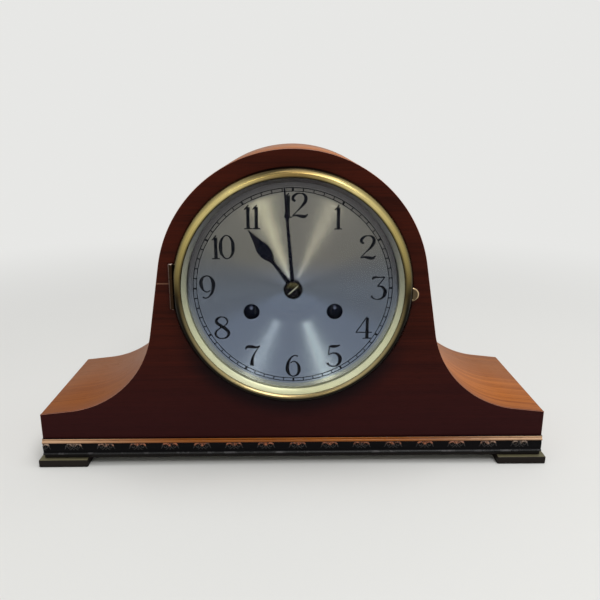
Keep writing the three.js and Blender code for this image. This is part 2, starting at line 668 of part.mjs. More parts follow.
function dial() {
  const holes = [
    circle(PIPE_HOLE_RADIUS, HOLE_SIDES),
    circle(WINDING_HOLE_RADIUS, HOLE_SIDES, GOING_BARREL),
    circle(WINDING_HOLE_RADIUS, HOLE_SIDES, STRIKE_BARREL),
  ];
  add('dial', slab(circle(DIAL_RADIUS, RING_SIDES), DIAL_SETBACK, DIAL_BACK, holes), 'silvered', works);
}

// Swelling outside of the bezel: [inwards from its edge, behind its crest].
const BEZEL_SWELL = [[0, 7.1], [0.6, 4.9], [1.6, 2.7], [2.9, 1.1], [4.1, 0]];
// Groove and lip inside the crest: [outwards from the glass's seat, behind the crest].
const BEZEL_LIP = [[0.8, 1], [0, 1], [0.7 - GLASS_LEDGE, 0.1], [-GLASS_LEDGE, 0.4]];

// The swelling outside from the bezel's back edge to its crest, grown by a clearance.
function bezelFlank(grow = 0) {
  const edge = BEZEL_RADIUS + grow;
  const swell = BEZEL_SWELL.map(([inset, drop]) => [edge - inset, drop - BEZEL_HEIGHT - grow]);
  return [[edge, -BEZEL_LIFT], ...swell];
}

function bezelProfile() {
  const skirt = -BEZEL_LIFT - BEZEL_SKIRT_DEPTH;
  return [
    ...bezelFlank(),
    ...BEZEL_LIP.map(([out, drop]) => [BEZEL_SEAT_RADIUS + out, drop - BEZEL_HEIGHT]),
    [BEZEL_LIP_RADIUS, GLASS_EDGE - SEAT_GAP],
    [BEZEL_SEAT_RADIUS, GLASS_EDGE - SEAT_GAP],
    [BEZEL_SEAT_RADIUS, skirt],
    [BEZEL_SKIRT_RADIUS, skirt],
    [BEZEL_SKIRT_RADIUS, -BEZEL_LIFT],
  ];
}

// An upright round rod on the bezel's hinge pin.
const onBezelPin = (radius, low, high, sides = HOLE_SIDES) =>
  upright(circle(radius, sides, at(BEZEL_HINGE_X, BEZEL_HINGE_Y)), low, high);

const BEZEL_HINGE_LOW = BEZEL_HINGE_RISE - BEZEL_HINGE_LENGTH / 2;
const BEZEL_HINGE_HIGH = BEZEL_HINGE_RISE + BEZEL_HINGE_LENGTH / 2;
const BEZEL_BORE_RADIUS = BEZEL_PIN_RADIUS + RUNNING_GAP;

function bezelRing() {
  const low = BEZEL_HINGE_LOW - NOTCH_GAP;
  const high = BEZEL_HINGE_HIGH + NOTCH_GAP;
  const edge = BEZEL_HINGE_X + BEZEL_HINGE_RADIUS + NOTCH_GAP;
  const notch = box(-BEZEL_RADIUS - 1, -BEZEL_HEIGHT - 1, low, edge, 1, high);
  const ring = cut(turned(bezelProfile(), RING_SIDES), notch);
  const knuckleLow = BEZEL_HINGE_RISE - BEZEL_KNUCKLE_LENGTH / 2;
  const knuckleHigh = BEZEL_HINGE_RISE + BEZEL_KNUCKLE_LENGTH / 2;
  const knuckle = onBezelPin(BEZEL_HINGE_RADIUS, knuckleLow, knuckleHigh);
  const half = BEZEL_WEB_THICKNESS / 2;
  const front = BEZEL_HINGE_Y - half;
  const back = BEZEL_HINGE_Y + half;
  const web = box(BEZEL_HINGE_X, front, knuckleLow, edge + 1, back, knuckleHigh);
  const bore = onBezelPin(BEZEL_BORE_RADIUS, low, high);
  add('bezel_ring', cut(join(ring, knuckle, web), bore), 'brass', works);
}

function bezelThumbPiece() {
  const outline = circle(THUMB_RADIUS, BOSS_SIDES, at(BEZEL_RADIUS - THUMB_INSET, -THUMB_DROP));
  const disc = slab(outline, -THUMB_LIFT - THUMB_THICKNESS, -THUMB_LIFT);
  const flank = bezelFlank(SEAT_GAP);
  const cutter = turned([[0, -BEZEL_LIFT], ...flank, [0, -BEZEL_HEIGHT - SEAT_GAP]], RING_SIDES);
  add('bezel_thumb_piece', cut(disc, cutter), 'brass', works);
}

function bezelHinge() {
  const low = BEZEL_HINGE_LOW;
  const high = BEZEL_HINGE_HIGH;
  const middle = BEZEL_KNUCKLE_LENGTH / 2 + RUNNING_GAP;
  const knuckles = [[low, BEZEL_HINGE_RISE - middle], [BEZEL_HINGE_RISE + middle, high]];
  const reach = BEZEL_HINGE_RADIUS;
  const leafEdge = BEZEL_HINGE_X + reach - NOTCH_GAP;
  const leaf = box(BEZEL_HINGE_X - reach, -BEZEL_LEAF_THICKNESS, low, leafEdge, 0, high);
  const half = BEZEL_WEB_THICKNESS / 2;
  const left = BEZEL_HINGE_X - half;
  const right = BEZEL_HINGE_X + half;
  const webBack = -BEZEL_LEAF_THICKNESS / 2;
  const sleeves = knuckles.map((ends) => onBezelPin(BEZEL_HINGE_RADIUS, ...ends));
  const webs = knuckles.map(([from, to]) => box(left, BEZEL_HINGE_Y, from, right, webBack, to));
  const bore = onBezelPin(BEZEL_BORE_RADIUS, low - 1, high + 1);
  add('bezel_hinge_leaf', cut(join(leaf, ...sleeves, ...webs), bore), 'brass', works);
  const pin = onBezelPin(BEZEL_PIN_RADIUS, low - BEZEL_PIN_END, high + BEZEL_PIN_END, ARBOR_SIDES);
  add('bezel_hinge_pin', pin, 'steel', works);
}

// Domed glass of even thickness.
function bezelGlass() {
  const sphere = (GLASS_RADIUS ** 2 + GLASS_DOME ** 2) / (2 * GLASS_DOME);
  const face = (radius) => GLASS_APEX + sphere - Math.sqrt(sphere ** 2 - radius ** 2);
  const radii = [0, 0.35, 0.7, 1].map((share) => share * GLASS_RADIUS);
  const front = radii.map((radius) => [radius, face(radius)]);
  const back = radii.map((radius) => [radius, face(radius) + GLASS_THICKNESS]);
  add('bezel_glass', turned([...front, ...back.reverse()], RING_SIDES), 'glass', works);
}

function sightRing() {
  const front = GLASS_EDGE + GLASS_THICKNESS + SEAT_GAP;
  const back = DIAL_SETBACK - 2 * SEAT_GAP;
  const mouth = BEZEL_LIP_RADIUS - SIGHT_INSET;
  const inner = DIAL_RADIUS - SIGHT_OVERLAP;
  const profile = [
    [mouth, front],
    [BEZEL_SEAT_RADIUS - SEAT_GAP, front],
    [BEZEL_SEAT_RADIUS - SEAT_GAP, front + SIGHT_THICKNESS],
    [mouth + SIGHT_THICKNESS, front + SIGHT_THICKNESS],
    [inner + SIGHT_THICKNESS, back],
    [inner, back],
  ];
  add('sight_ring', turned(profile, RING_SIDES), 'sightBrass', works);
}

// ---------------------------------------------------------------- gears

const pitchRadius = (module, teeth) => (module * teeth) / 2;

// Outline of a gear from the points of one tooth, each [share of a pitch from its middle, radius].
function toothed(teeth, tooth, phase) {
  const pitch = (2 * Math.PI) / teeth;
  const points = [];
  for (let i = 0; i < teeth; i += 1) {
    points.push(...tooth.map(([share, radius]) => polar(phase + (i + share) * pitch, radius)));
  }
  return points;
}

// Pointed teeth with sharp roots.
function wheelOutline(module, teeth, phase) {
  const radius = pitchRadius(module, teeth);
  const root = radius - WHEEL_DEDENDUM * module;
  return toothed(teeth, [[-0.5, root], [0, radius + WHEEL_ADDENDUM * module]], phase);
}

// Narrow leaves with flat tops.
function pinionOutline(module, teeth, phase) {
  const radius = pitchRadius(module, teeth);
  const root = radius - PINION_DEDENDUM * module;
  const tip = radius + PINION_ADDENDUM * module;
  const crest = LEAF_CREST / 2;
  return toothed(teeth, [[-crest, tip], [crest, tip], [0.5, root]], phase);
}

// Phase of a gear at b that meshes with a gear at a which has a tooth at +X.
function meshPhase(a, teethA, b, teethB) {
  const line = b.clone().sub(a).angle();
  const teethPassed = (line * teethA) / (2 * Math.PI);
  return line + Math.PI + ((teethPassed + 0.5) * 2 * Math.PI) / teethB;
}

// Openings between the arms of a wheel.
function crossings(rim, hub, arms, armWidth) {
  const holes = [];
  for (let i = 0; i < arms; i += 1) {
    const from = (2 * Math.PI * i) / arms;
    const to = (2 * Math.PI * (i + 1)) / arms;
    const outer = Math.asin(armWidth / 2 / rim);
    const inner = Math.asin(armWidth / 2 / hub);
    holes.push([
      ...arc(at(0, 0), rim, from + outer, to - outer, 2),
      ...arc(at(0, 0), hub, to - inner, from + inner, 1),
    ]);
  }
  return holes;
}

// A wheel with its front face at y, crossed out behind a rim of the width given.
function wheel(drive, y, rimWidth) {
  const inside = pitchRadius(drive.module, drive.wheel) - WHEEL_DEDENDUM * drive.module - rimWidth;
  const holes = crossings(inside, WHEEL_HUB_RADIUS, WHEEL_ARMS, WHEEL_ARM_WIDTH);
  return slab(wheelOutline(drive.module, drive.wheel, 0), y, y + drive.face, holes);
}

function pinion(drive, phase, from, to) {
  return slab(pinionOutline(drive.module, drive.pinion, phase), from, to);
}

// A pinion laid beside the wheel that drives it, whose front face is at y.
const pinionBy = (drive, phase, y) =>
  pinion(drive, phase, y - PINION_OVERLAP, y + drive.face + PINION_OVERLAP);

// An arbor that pivots in both plates.
function plateArbor(radius = ARBOR_RADIUS) {
  return shaft([
    [PIVOT_RADIUS, FRONT_PLATE + PIVOT_END],
    [radius, INNER_FRONT + END_SHAKE],
    [PIVOT_RADIUS, INNER_BACK - END_SHAKE],
    [0, BACK_PLATE_REAR - PIVOT_END],
  ]);
}

const meshDistance = (drive) => (drive.module * (drive.wheel + drive.pinion)) / 2;

// The point at distance ra from a and rb from b, on the left of the way from a to b when side is 1.
function crossPoint(a, ra, b, rb, side) {
  const span = b.clone().sub(a);
  const distance = span.length();
  const along = (distance ** 2 + ra ** 2 - rb ** 2) / (2 * distance);
  const off = side * Math.sqrt(ra ** 2 - along ** 2);
  const way = span.divideScalar(distance);
  return at(a.x + way.x * along - way.y * off, a.y + way.y * along + way.x * off);
}

// Arbors, seen from the front with the dial's centre at the origin
const CENTRE = at(0, 0);
const GOING_BARREL = at(BARREL_SPREAD / 2, -BARREL_DROP);
const STRIKE_BARREL = at(-BARREL_SPREAD / 2, -BARREL_DROP);
const INTERMEDIATE = crossPoint(CENTRE, meshDistance(CENTRE_DRIVE), GOING_BARREL, meshDistance(GREAT), 1);
const ESCAPE = at(0, ESCAPE_RISE);
const THIRD = crossPoint(CENTRE, meshDistance(THIRD_DRIVE), ESCAPE, meshDistance(ESCAPE_DRIVE), 1);
const ANCHOR = at(0, ESCAPE_RISE + ESCAPE_RADIUS / Math.cos(PALLET_SPAN / 2));
const PIN_ARBOR = polar(PIN_ARBOR_ANGLE, meshDistance(GREAT), STRIKE_BARREL);
const GATHERING = polar(GATHERING_ARBOR_ANGLE, meshDistance(PIN_DRIVE), PIN_ARBOR);
const FLY = polar(FLY_ARBOR_ANGLE, meshDistance(FLY_DRIVE), GATHERING);
const HAMMER = at(-HAMMER_ARBOR_REACH, HAMMER_ARBOR_RISE);
const MINUTE_ARBOR = at(0, -meshDistance(HOUR_DRIVE));
const MINUTE_MODULE = (2 * meshDistance(HOUR_DRIVE)) / (MINUTE_DRIVE.wheel + MINUTE_DRIVE.pinion);

// Rest phases of the pinions: every wheel of the trains stands with a tooth at +X.
const pinionPhase = (from, drive, to) => meshPhase(from, drive.wheel, to, drive.pinion);
const INTERMEDIATE_PHASE = pinionPhase(GOING_BARREL, GREAT, INTERMEDIATE);
const CENTRE_PHASE = pinionPhase(INTERMEDIATE, CENTRE_DRIVE, CENTRE);
const THIRD_PHASE = pinionPhase(CENTRE, THIRD_DRIVE, THIRD);
const ESCAPE_PHASE = pinionPhase(THIRD, ESCAPE_DRIVE, ESCAPE);
const PIN_PHASE = pinionPhase(STRIKE_BARREL, GREAT, PIN_ARBOR);
const GATHERING_PHASE = pinionPhase(PIN_ARBOR, PIN_DRIVE, GATHERING);
const FLY_PHASE = pinionPhase(GATHERING, FLY_DRIVE, FLY);
const MINUTE_WHEEL_PHASE = meshPhase(CENTRE, MINUTE_DRIVE.pinion, MINUTE_ARBOR, MINUTE_DRIVE.wheel);
const HOUR_WHEEL_PHASE = meshPhase(MINUTE_ARBOR, HOUR_DRIVE.pinion, CENTRE, HOUR_DRIVE.wheel);

// ---------------------------------------------------------------- movement frame

const PLATE_ARBORS = [INTERMEDIATE, ESCAPE, THIRD, PIN_ARBOR, GATHERING, FLY];
const PILLARS = [
  at(-PLATE_HALF_WIDTH + PILLAR_INSET, -PLATE_DROP + PILLAR_INSET),
  at(PLATE_HALF_WIDTH - PILLAR_INSET, -PLATE_DROP + PILLAR_INSET),
  at(-PLATE_HALF_WIDTH + PILLAR_INSET, PLATE_RISE - PILLAR_INSET),
  at(PLATE_HALF_WIDTH - PILLAR_INSET, PLATE_RISE - PILLAR_INSET),
];

const plateOutline = () =>
  roundedRectangle(-PLATE_HALF_WIDTH, -PLATE_DROP, PLATE_HALF_WIDTH, PLATE_RISE, PLATE_CORNER);

// Click studs stand outside and below the winding arbors, mirrored left and right.
const CLICK_BEARING = degrees(-60);
const clickStud = (barrel) =>
  polar(barrel.x > 0 ? CLICK_BEARING : Math.PI - CLICK_BEARING, CLICK_DISTANCE, barrel);

function bar(name, z) {
  const half = BAR_WIDTH / 2;
  const strip = box(-BAR_HALF_LENGTH, PANEL_THICKNESS, z - half, BAR_HALF_LENGTH, FRONT_PLATE, z + half);
  add(name, strip, 'steel', works);
}

function frontPlate() {
  const pivotHoles = PLATE_ARBORS.map((place) => circle(PIVOT_RADIUS + RUNNING_GAP, ARBOR_SIDES, place));
  const holes = [
    ...pivotHoles,
    circle(ARBOR_RADIUS + RUNNING_GAP, ARBOR_SIDES, ANCHOR),
    circle(ARBOR_RADIUS + RUNNING_GAP, ARBOR_SIDES, HAMMER),
    circle(CENTRE_ARBOR_RADIUS + RUNNING_GAP, HOLE_SIDES),
    circle(WINDING_ARBOR_RADIUS + RUNNING_GAP, HOLE_SIDES, GOING_BARREL),
    circle(WINDING_ARBOR_RADIUS + RUNNING_GAP, HOLE_SIDES, STRIKE_BARREL),
  ];
  const plate = slab(plateOutline(), FRONT_PLATE, INNER_FRONT, holes);
  const stud = (place, front) =>
    shaft([[STUD_RADIUS, front], [0, FRONT_PLATE + 1]]).translate(place.x, 0, place.y);
  const studs = [
    stud(MINUTE_ARBOR, HOUR_WHEEL_Y),
    stud(clickStud(GOING_BARREL), RATCHET_FRONT - STUD_END),
    stud(clickStud(STRIKE_BARREL), RATCHET_FRONT - STUD_END),
  ];
  add('movement_front_plate', join(plate, ...studs), 'brass', works);
}

function backPlate() {
  const pivotHoles = PLATE_ARBORS.map((place) => circle(PIVOT_RADIUS + RUNNING_GAP, ARBOR_SIDES, place));
  const holes = [
    ...pivotHoles,
    circle(PIVOT_RADIUS + RUNNING_GAP, ARBOR_SIDES),
    circle(ARBOR_RADIUS + RUNNING_GAP, ARBOR_SIDES, ANCHOR),
    circle(ARBOR_RADIUS + RUNNING_GAP, ARBOR_SIDES, HAMMER),
    circle(WINDING_PIVOT_RADIUS + RUNNING_GAP, HOLE_SIDES, GOING_BARREL),
    circle(WINDING_PIVOT_RADIUS + RUNNING_GAP, HOLE_SIDES, STRIKE_BARREL),
  ];
  add('movement_back_plate', slab(plateOutline(), INNER_BACK, BACK_PLATE_REAR, holes), 'brass', works);
}

function pillars() {
  const names = ['lower_left', 'lower_right', 'upper_left', 'upper_right'];
  PILLARS.forEach((place, i) => {
    const geometry = shaft([
      [PILLAR_RADIUS, INNER_FRONT],
      [PILLAR_NECK_RADIUS, INNER_FRONT + PILLAR_NECK],
      [PILLAR_RADIUS, INNER_BACK - PILLAR_NECK],
      [0, INNER_BACK],
    ]);
    add(`pillar_${names[i]}`, geometry, 'brass', works).position.set(place.x, 0, place.y);
  });
}

// ---------------------------------------------------------------- winding

function ratchetOutline() {
  const pitch = (2 * Math.PI) / RATCHET_TEETH;
  const points = [];
  for (let i = 0; i < RATCHET_TEETH; i += 1) {
    points.push(polar(i * pitch, RATCHET_ROOT_RADIUS), polar(i * pitch + 0.02, RATCHET_RADIUS));
  }
  return points;
}

// Winding arbor: square for the key, ratchet, body through the barrel, pivot in the back plate.
function windingArbor(name, place) {
  const half = WINDING_SQUARE / 2;
  const body = shaft([
    [WINDING_ARBOR_RADIUS, RATCHET_FRONT],
    [WINDING_PIVOT_RADIUS, BARREL_BACK + END_SHAKE],
    [0, BACK_PLATE_REAR],
  ], HOLE_SIDES);
  const key = box(-half, RATCHET_FRONT - WINDING_SQUARE_LENGTH, -half, half, RATCHET_BACK, half);
  const ratchet = slab(ratchetOutline(), RATCHET_FRONT, RATCHET_BACK);
  placed(name, join(body, key, ratchet), place, 'steel');
}

// Barrel with its toothed great wheel, bored for the winding arbor.
function barrel(name, place) {
  const front = INNER_FRONT + GREAT_WHEEL_AT;
  const bore = WINDING_ARBOR_RADIUS + RUNNING_GAP;
  const teeth = slab(wheelOutline(GREAT.module, GREAT.wheel, 0), front, front + GREAT.face);
  const drum = shaft([[BARREL_RADIUS, front + GREAT.face / 2], [0, BARREL_BACK]], BARREL_SIDES);
  const hole = shaft([[bore, front - GREAT.face], [0, BARREL_BACK + GREAT.face]], HOLE_SIDES);
  placed(name, cut(join(teeth, drum), hole), place);
}

// Click: hub on its stud and a nose that rests on the ratchet's tips.
function click(name, place) {
  const stud = clickStud(place);
  const mirror = place.x > 0 ? 1 : -1;
  const bearing = stud.clone().sub(place).angle();
  const nose = polar(bearing + mirror * CLICK_REACH, RATCHET_RADIUS + RUNNING_GAP, place).sub(stud);
  const heading = nose.angle();
  const aside = polar(heading - (mirror * Math.PI) / 2, CLICK_NOSE_WIDTH);
  const hub = circle(CLICK_HUB_RADIUS, HOLE_SIDES);
  const tangent = (side) => polar(heading + side * (Math.PI / 2 - 0.2), CLICK_HUB_RADIUS - 0.1);
  const blade = [tangent(-mirror), nose.clone().add(aside), nose, tangent(mirror)];
  const outline = mirror > 0 ? blade : blade.reverse();
  const pieces = join(slab(hub, RATCHET_FRONT, RATCHET_BACK), slab(outline, RATCHET_FRONT, RATCHET_BACK));
  const bore = shaft([[STUD_RADIUS + RUNNING_GAP, RATCHET_FRONT - 1], [0, RATCHET_BACK + 1]]);
  placed(name, cut(pieces, bore), stud, 'steel');
}

// ---------------------------------------------------------------- going train

function placed(name, geometry, place, finish = 'brass') {
  add(name, geometry, finish, works).position.set(place.x, 0, place.y);
}

function goingTrain() {
  const inside = (offset) => INNER_FRONT + offset;
  placed('intermediate_wheel', join(
    plateArbor(),
    pinionBy(GREAT, INTERMEDIATE_PHASE, inside(GREAT_WHEEL_AT)),
    wheel(CENTRE_DRIVE, inside(SECOND_WHEEL_AT), RIM_WIDTH),
  ), INTERMEDIATE);
  const centreArbor = shaft([
    [CENTRE_NOSE_RADIUS, MINUTE_HAND_FRONT],
    [CENTRE_ARBOR_RADIUS, FRONT_PLATE - PIVOT_END],
    [PIVOT_RADIUS, INNER_BACK - END_SHAKE],
    [0, BACK_PLATE_REAR - PIVOT_END],
  ]);
  placed('centre_wheel', join(
    centreArbor,
    pinionBy(CENTRE_DRIVE, CENTRE_PHASE, inside(SECOND_WHEEL_AT)),
    wheel(THIRD_DRIVE, inside(CENTRE_WHEEL_AT), RIM_WIDTH),
  ), CENTRE);
  placed('third_wheel', join(
    plateArbor(SLIM_ARBOR_RADIUS),
    pinionBy(THIRD_DRIVE, THIRD_PHASE, inside(CENTRE_WHEEL_AT)),
    wheel(ESCAPE_DRIVE, inside(THIRD_WHEEL_AT), RIM_WIDTH),
  ), THIRD);
}

// Escape wheel with pointed teeth that rake forwards.
function escapeWheel() {
  const y = INNER_FRONT + ESCAPE_WHEEL_AT;
  const outline = toothed(ESCAPE_TEETH, [[0, ESCAPE_ROOT_RADIUS], [0.25, ESCAPE_RADIUS]], 0);
  const holes = crossings(ESCAPE_ROOT_RADIUS - RIM_WIDTH, ESCAPE_HUB_RADIUS, WHEEL_ARMS, WHEEL_ARM_WIDTH);
  const disc = slab(outline, y, y + ESCAPE_THICKNESS, holes);
  const leaves = pinionBy(ESCAPE_DRIVE, ESCAPE_PHASE, INNER_FRONT + THIRD_WHEEL_AT);
  placed('escape_wheel', join(plateArbor(SLIM_ARBOR_RADIUS), leaves, disc), ESCAPE);
}

// Anchor: hub, two curved arms with pallets that reach to the wheel's rim, arbor and crutch.
function anchor() {
  const rim = ESCAPE_RADIUS + PALLET_CLEARANCE;
  const wheelCentre = at(0, ESCAPE.y - ANCHOR.y);
  const halfSpan = PALLET_SPAN / 2;
  const up = Math.PI / 2;
  const inner = arc(wheelCentre, rim, up + halfSpan, up - halfSpan, 8);
  const outer = arc(wheelCentre, rim + ANCHOR_DEPTH, up - halfSpan * 0.8, up + halfSpan * 0.8, 6);
  const toe = (side) => polar(up - side * (halfSpan + PALLET_TOE), rim + PALLET_TOE_DEPTH, wheelCentre);
  const arms = [...inner, toe(1), ...outer, toe(-1)].reverse();
  const y = INNER_FRONT + ESCAPE_WHEEL_AT - (ANCHOR_THICKNESS - ESCAPE_THICKNESS) / 2;
  const rodFace = ROD_Y - PENDULUM_ROD_THICKNESS / 2;
  const arborEnd = rodFace - COCK_CLAMP_DEPTH / 2 - END_SHAKE;
  const arbor = shaft([[ARBOR_RADIUS, FRONT_PLATE + PIVOT_END], [0, arborEnd]]);
  const hub = slab(circle(ANCHOR_HUB_RADIUS, HOLE_SIDES), y, y + ANCHOR_THICKNESS);
  const front = BACK_PLATE_REAR + 2 * END_SHAKE;
  const back = front + CRUTCH_THICKNESS;
  const half = CRUTCH_WIDTH / 2;
  const forkLow = -CRUTCH_LENGTH - CRUTCH_FORK / 2;
  const forkHigh = -CRUTCH_LENGTH + CRUTCH_FORK / 2;
  const crutch = box(-half, front, forkLow, half, back, half);
  const gap = PENDULUM_ROD_WIDTH / 2 + RUNNING_GAP;
  const forkHalf = gap + CRUTCH_THICKNESS;
  const yoke = box(-forkHalf, front, forkLow, forkHalf, back, forkHigh);
  const prongBack = ROD_Y + PENDULUM_ROD_THICKNESS / 2 + 1;
  const leftProng = box(-forkHalf, front, forkLow + 1, -gap, prongBack, forkHigh - 1);
  const rightProng = box(gap, front, forkLow + 1, forkHalf, prongBack, forkHigh - 1);
  const plate = slab(arms, y, y + ANCHOR_THICKNESS);
  placed('anchor', join(plate, hub, arbor, crutch, yoke, leftProng, rightProng), ANCHOR, 'steel');
}

// ---------------------------------------------------------------- pendulum

function suspensionCock() {
  const clampLow = ANCHOR.y + COCK_CLEARANCE;
  const shelfLow = clampLow + COCK_CLAMP_HEIGHT;
  const shelfHigh = shelfLow + COCK_SHELF_THICKNESS;
  const footHigh = shelfHigh + COCK_FOOT_RISE;
  const footBack = BACK_PLATE_REAR + COCK_FOOT_THICKNESS;
  const foot = COCK_FOOT_WIDTH / 2;
  const footPlate = box(-foot, BACK_PLATE_REAR, shelfLow, foot, footBack, footHigh);
  const deep = COCK_CLAMP_DEPTH / 2;
  const wide = COCK_SHELF_WIDTH / 2;
  const shelf = box(-wide, BACK_PLATE_REAR, shelfLow, wide, ROD_Y + deep + END_SHAKE, shelfHigh);
  const jaw = COCK_CLAMP_WIDTH / 2;
  const clamp = box(-jaw, ROD_Y - deep, clampLow, jaw, ROD_Y + deep, shelfHigh);
  add('suspension_cock', join(footPlate, shelf, clamp), 'brass', works);
}

function pendulum() {
  const half = PENDULUM_ROD_WIDTH / 2;
  const thin = PENDULUM_ROD_THICKNESS / 2;
  const bobLow = -PENDULUM_LENGTH - BOB_RADIUS;
  const nutLow = bobLow - SEAT_GAP - RATING_NUT_HEIGHT;
  const top = COCK_CLEARANCE - SEAT_GAP;
  const rod = box(-half, ROD_Y - thin, nutLow - ROD_TAIL, half, ROD_Y + thin, top);
  const nutOutline = circle(RATING_NUT_RADIUS, HOLE_SIDES, at(0, ROD_Y));
  const nut = upright(nutOutline, nutLow, nutLow + RATING_NUT_HEIGHT);
  placed('pendulum_rod', join(rod, nut), ANCHOR, 'steel');
  const rim = BOB_RADIUS;
  const shoulder = 0.65 * BOB_RADIUS;
  const deep = BOB_THICKNESS / 2;
  const edge = BOB_EDGE / 2;
  const swell = (deep * 3 + edge) / 4;
  const lens = turned([
    [0, -deep],
    [shoulder, -swell],
    [rim, -edge],
    [rim, edge],
    [shoulder, swell],
    [0, deep],
  ], BARREL_SIDES);
  const slotHalf = half + SEAT_GAP;
  const slot = box(-slotHalf, -thin - SEAT_GAP, -rim - 1, slotHalf, thin + SEAT_GAP, rim + 1);
  placed('pendulum_bob', cut(lens, slot).translate(0, ROD_Y, -PENDULUM_LENGTH), ANCHOR);
}

// ---------------------------------------------------------------- motion work and hands

const CANNON_BORE = CENTRE_NOSE_RADIUS + RUNNING_GAP;
const HOUR_PIPE_BORE = CANNON_RADIUS + RUNNING_GAP;
const HOUR_PIPE_RADIUS = HOUR_PIPE_BORE + HOUR_PIPE_WALL;

function motionWork() {
  const overlap = PIVOT_END; // of the leaves beyond the wheel they meet
  const teethBack = MINUTE_WHEEL_Y + MINUTE_DRIVE.face + overlap;
  const leaves = pinionOutline(MINUTE_MODULE, MINUTE_DRIVE.pinion, 0);
  const cannonTeeth = slab(leaves, MINUTE_WHEEL_Y - overlap, teethBack);
  const bore = shaft([[CANNON_BORE, MINUTE_HAND_FRONT - 1], [0, teethBack + 1]], HOLE_SIDES);
  const pipe = shaft([[CANNON_RADIUS, MINUTE_HAND_FRONT], [0, MINUTE_WHEEL_Y]], HOLE_SIDES);
  placed('cannon_pinion', cut(join(cannonTeeth, pipe), bore), CENTRE);

  const minuteOutline = wheelOutline(MINUTE_MODULE, MINUTE_DRIVE.wheel, MINUTE_WHEEL_PHASE);
  const minuteDisc = slab(minuteOutline, MINUTE_WHEEL_Y, MINUTE_WHEEL_Y + MINUTE_DRIVE.face);
  const minuteLeaves = pinion(HOUR_DRIVE, 0, HOUR_WHEEL_Y - overlap, MINUTE_WHEEL_Y + overlap);
  const studBore = shaft([[STUD_RADIUS + RUNNING_GAP, DIAL_BACK], [0, FRONT_PLATE]]);
  placed('minute_wheel', cut(join(minuteDisc, minuteLeaves), studBore), MINUTE_ARBOR);

  const pipeFront = HOUR_HAND_FRONT - PIVOT_END;
  const discBack = HOUR_WHEEL_Y + HOUR_DRIVE.face;
  const hourOutline = wheelOutline(HOUR_DRIVE.module, HOUR_DRIVE.wheel, HOUR_WHEEL_PHASE);
  const hourDisc = slab(hourOutline, HOUR_WHEEL_Y, discBack);
  const hourPipe = shaft([[HOUR_PIPE_RADIUS, pipeFront], [0, discBack]], HOLE_SIDES);
  const hourBore = shaft([[HOUR_PIPE_BORE, pipeFront - 1], [0, discBack + 1]], HOLE_SIDES);
  placed('hour_wheel', cut(join(hourDisc, hourPipe), hourBore), CENTRE);
}

// Outline of a hand that points up, from half widths at distances from the centre, with its boss.
function handOutline(boss, stations) {
  const right = stations.map(([distance, half]) => at(half, distance));
  const left = [...right].reverse().filter((point) => point.x > 0).map((point) => at(-point.x, point.y));
  const start = Math.asin(right[0].x / boss);
  const rim = arc(at(0, 0), boss, Math.PI / 2 + start, 2.5 * Math.PI - start, 12);
  return [...right.slice(1), ...left.slice(0, -1), ...rim];
}

// A hand's blade as [distance from the centre, half width]. The tip's width is none.
const minuteStations = (length, boss) => [
  [boss, 1.45], [length - 24.5, 0.95], [length - 21.4, 2],
  [length - 17.6, 0.9], [length - 2, 0.5], [length, 0],
];
const hourStations = (length, boss) => [
  [boss, 1.5], [length - 30.6, 1], [length - 26.7, 2.6], [length - 22.2, 4.5],
  [length - 18.9, 4.8], [length - 14.5, 3.9], [length - 7.8, 1.8], [length, 0],
];

function hand(name, outline, front, hole, angle) {
  const plate = slab(outline, front, front + HAND_THICKNESS, [circle(hole, HOLE_SIDES)]);
  add(name, plate, 'blued', works).rotation.y = angle;
}

function hands() {
  const minuteBlade = minuteStations(MINUTE_HAND_LENGTH, MINUTE_BOSS_RADIUS);
  const minuteOutline = handOutline(MINUTE_BOSS_RADIUS, minuteBlade);
  const minuteHole = CANNON_RADIUS + SEAT_GAP;
  hand('minute_hand', minuteOutline, MINUTE_HAND_FRONT, minuteHole, MINUTE_HAND_ANGLE);
  const hourBlade = hourStations(HOUR_HAND_LENGTH, HOUR_BOSS_RADIUS);
  const hourOutline = handOutline(HOUR_BOSS_RADIUS, hourBlade);
  const hourHole = HOUR_PIPE_RADIUS + SEAT_GAP;
  hand('hour_hand', hourOutline, HOUR_HAND_FRONT, hourHole, HOUR_HAND_ANGLE);
  const back = MINUTE_HAND_FRONT - SEAT_GAP;
  const front = back - HAND_NUT_HEIGHT;
  const nut = turned([
    [0, back],
    [HAND_NUT_RADIUS, back],
    [HAND_NUT_RADIUS, back - HAND_NUT_EDGE],
    [HAND_NUT_RADIUS * 0.75, front + HAND_NUT_EDGE],
    [0, front],
  ], BOSS_SIDES);
  add('hand_nut', nut, 'brass', works);
}

// ---------------------------------------------------------------- strike train

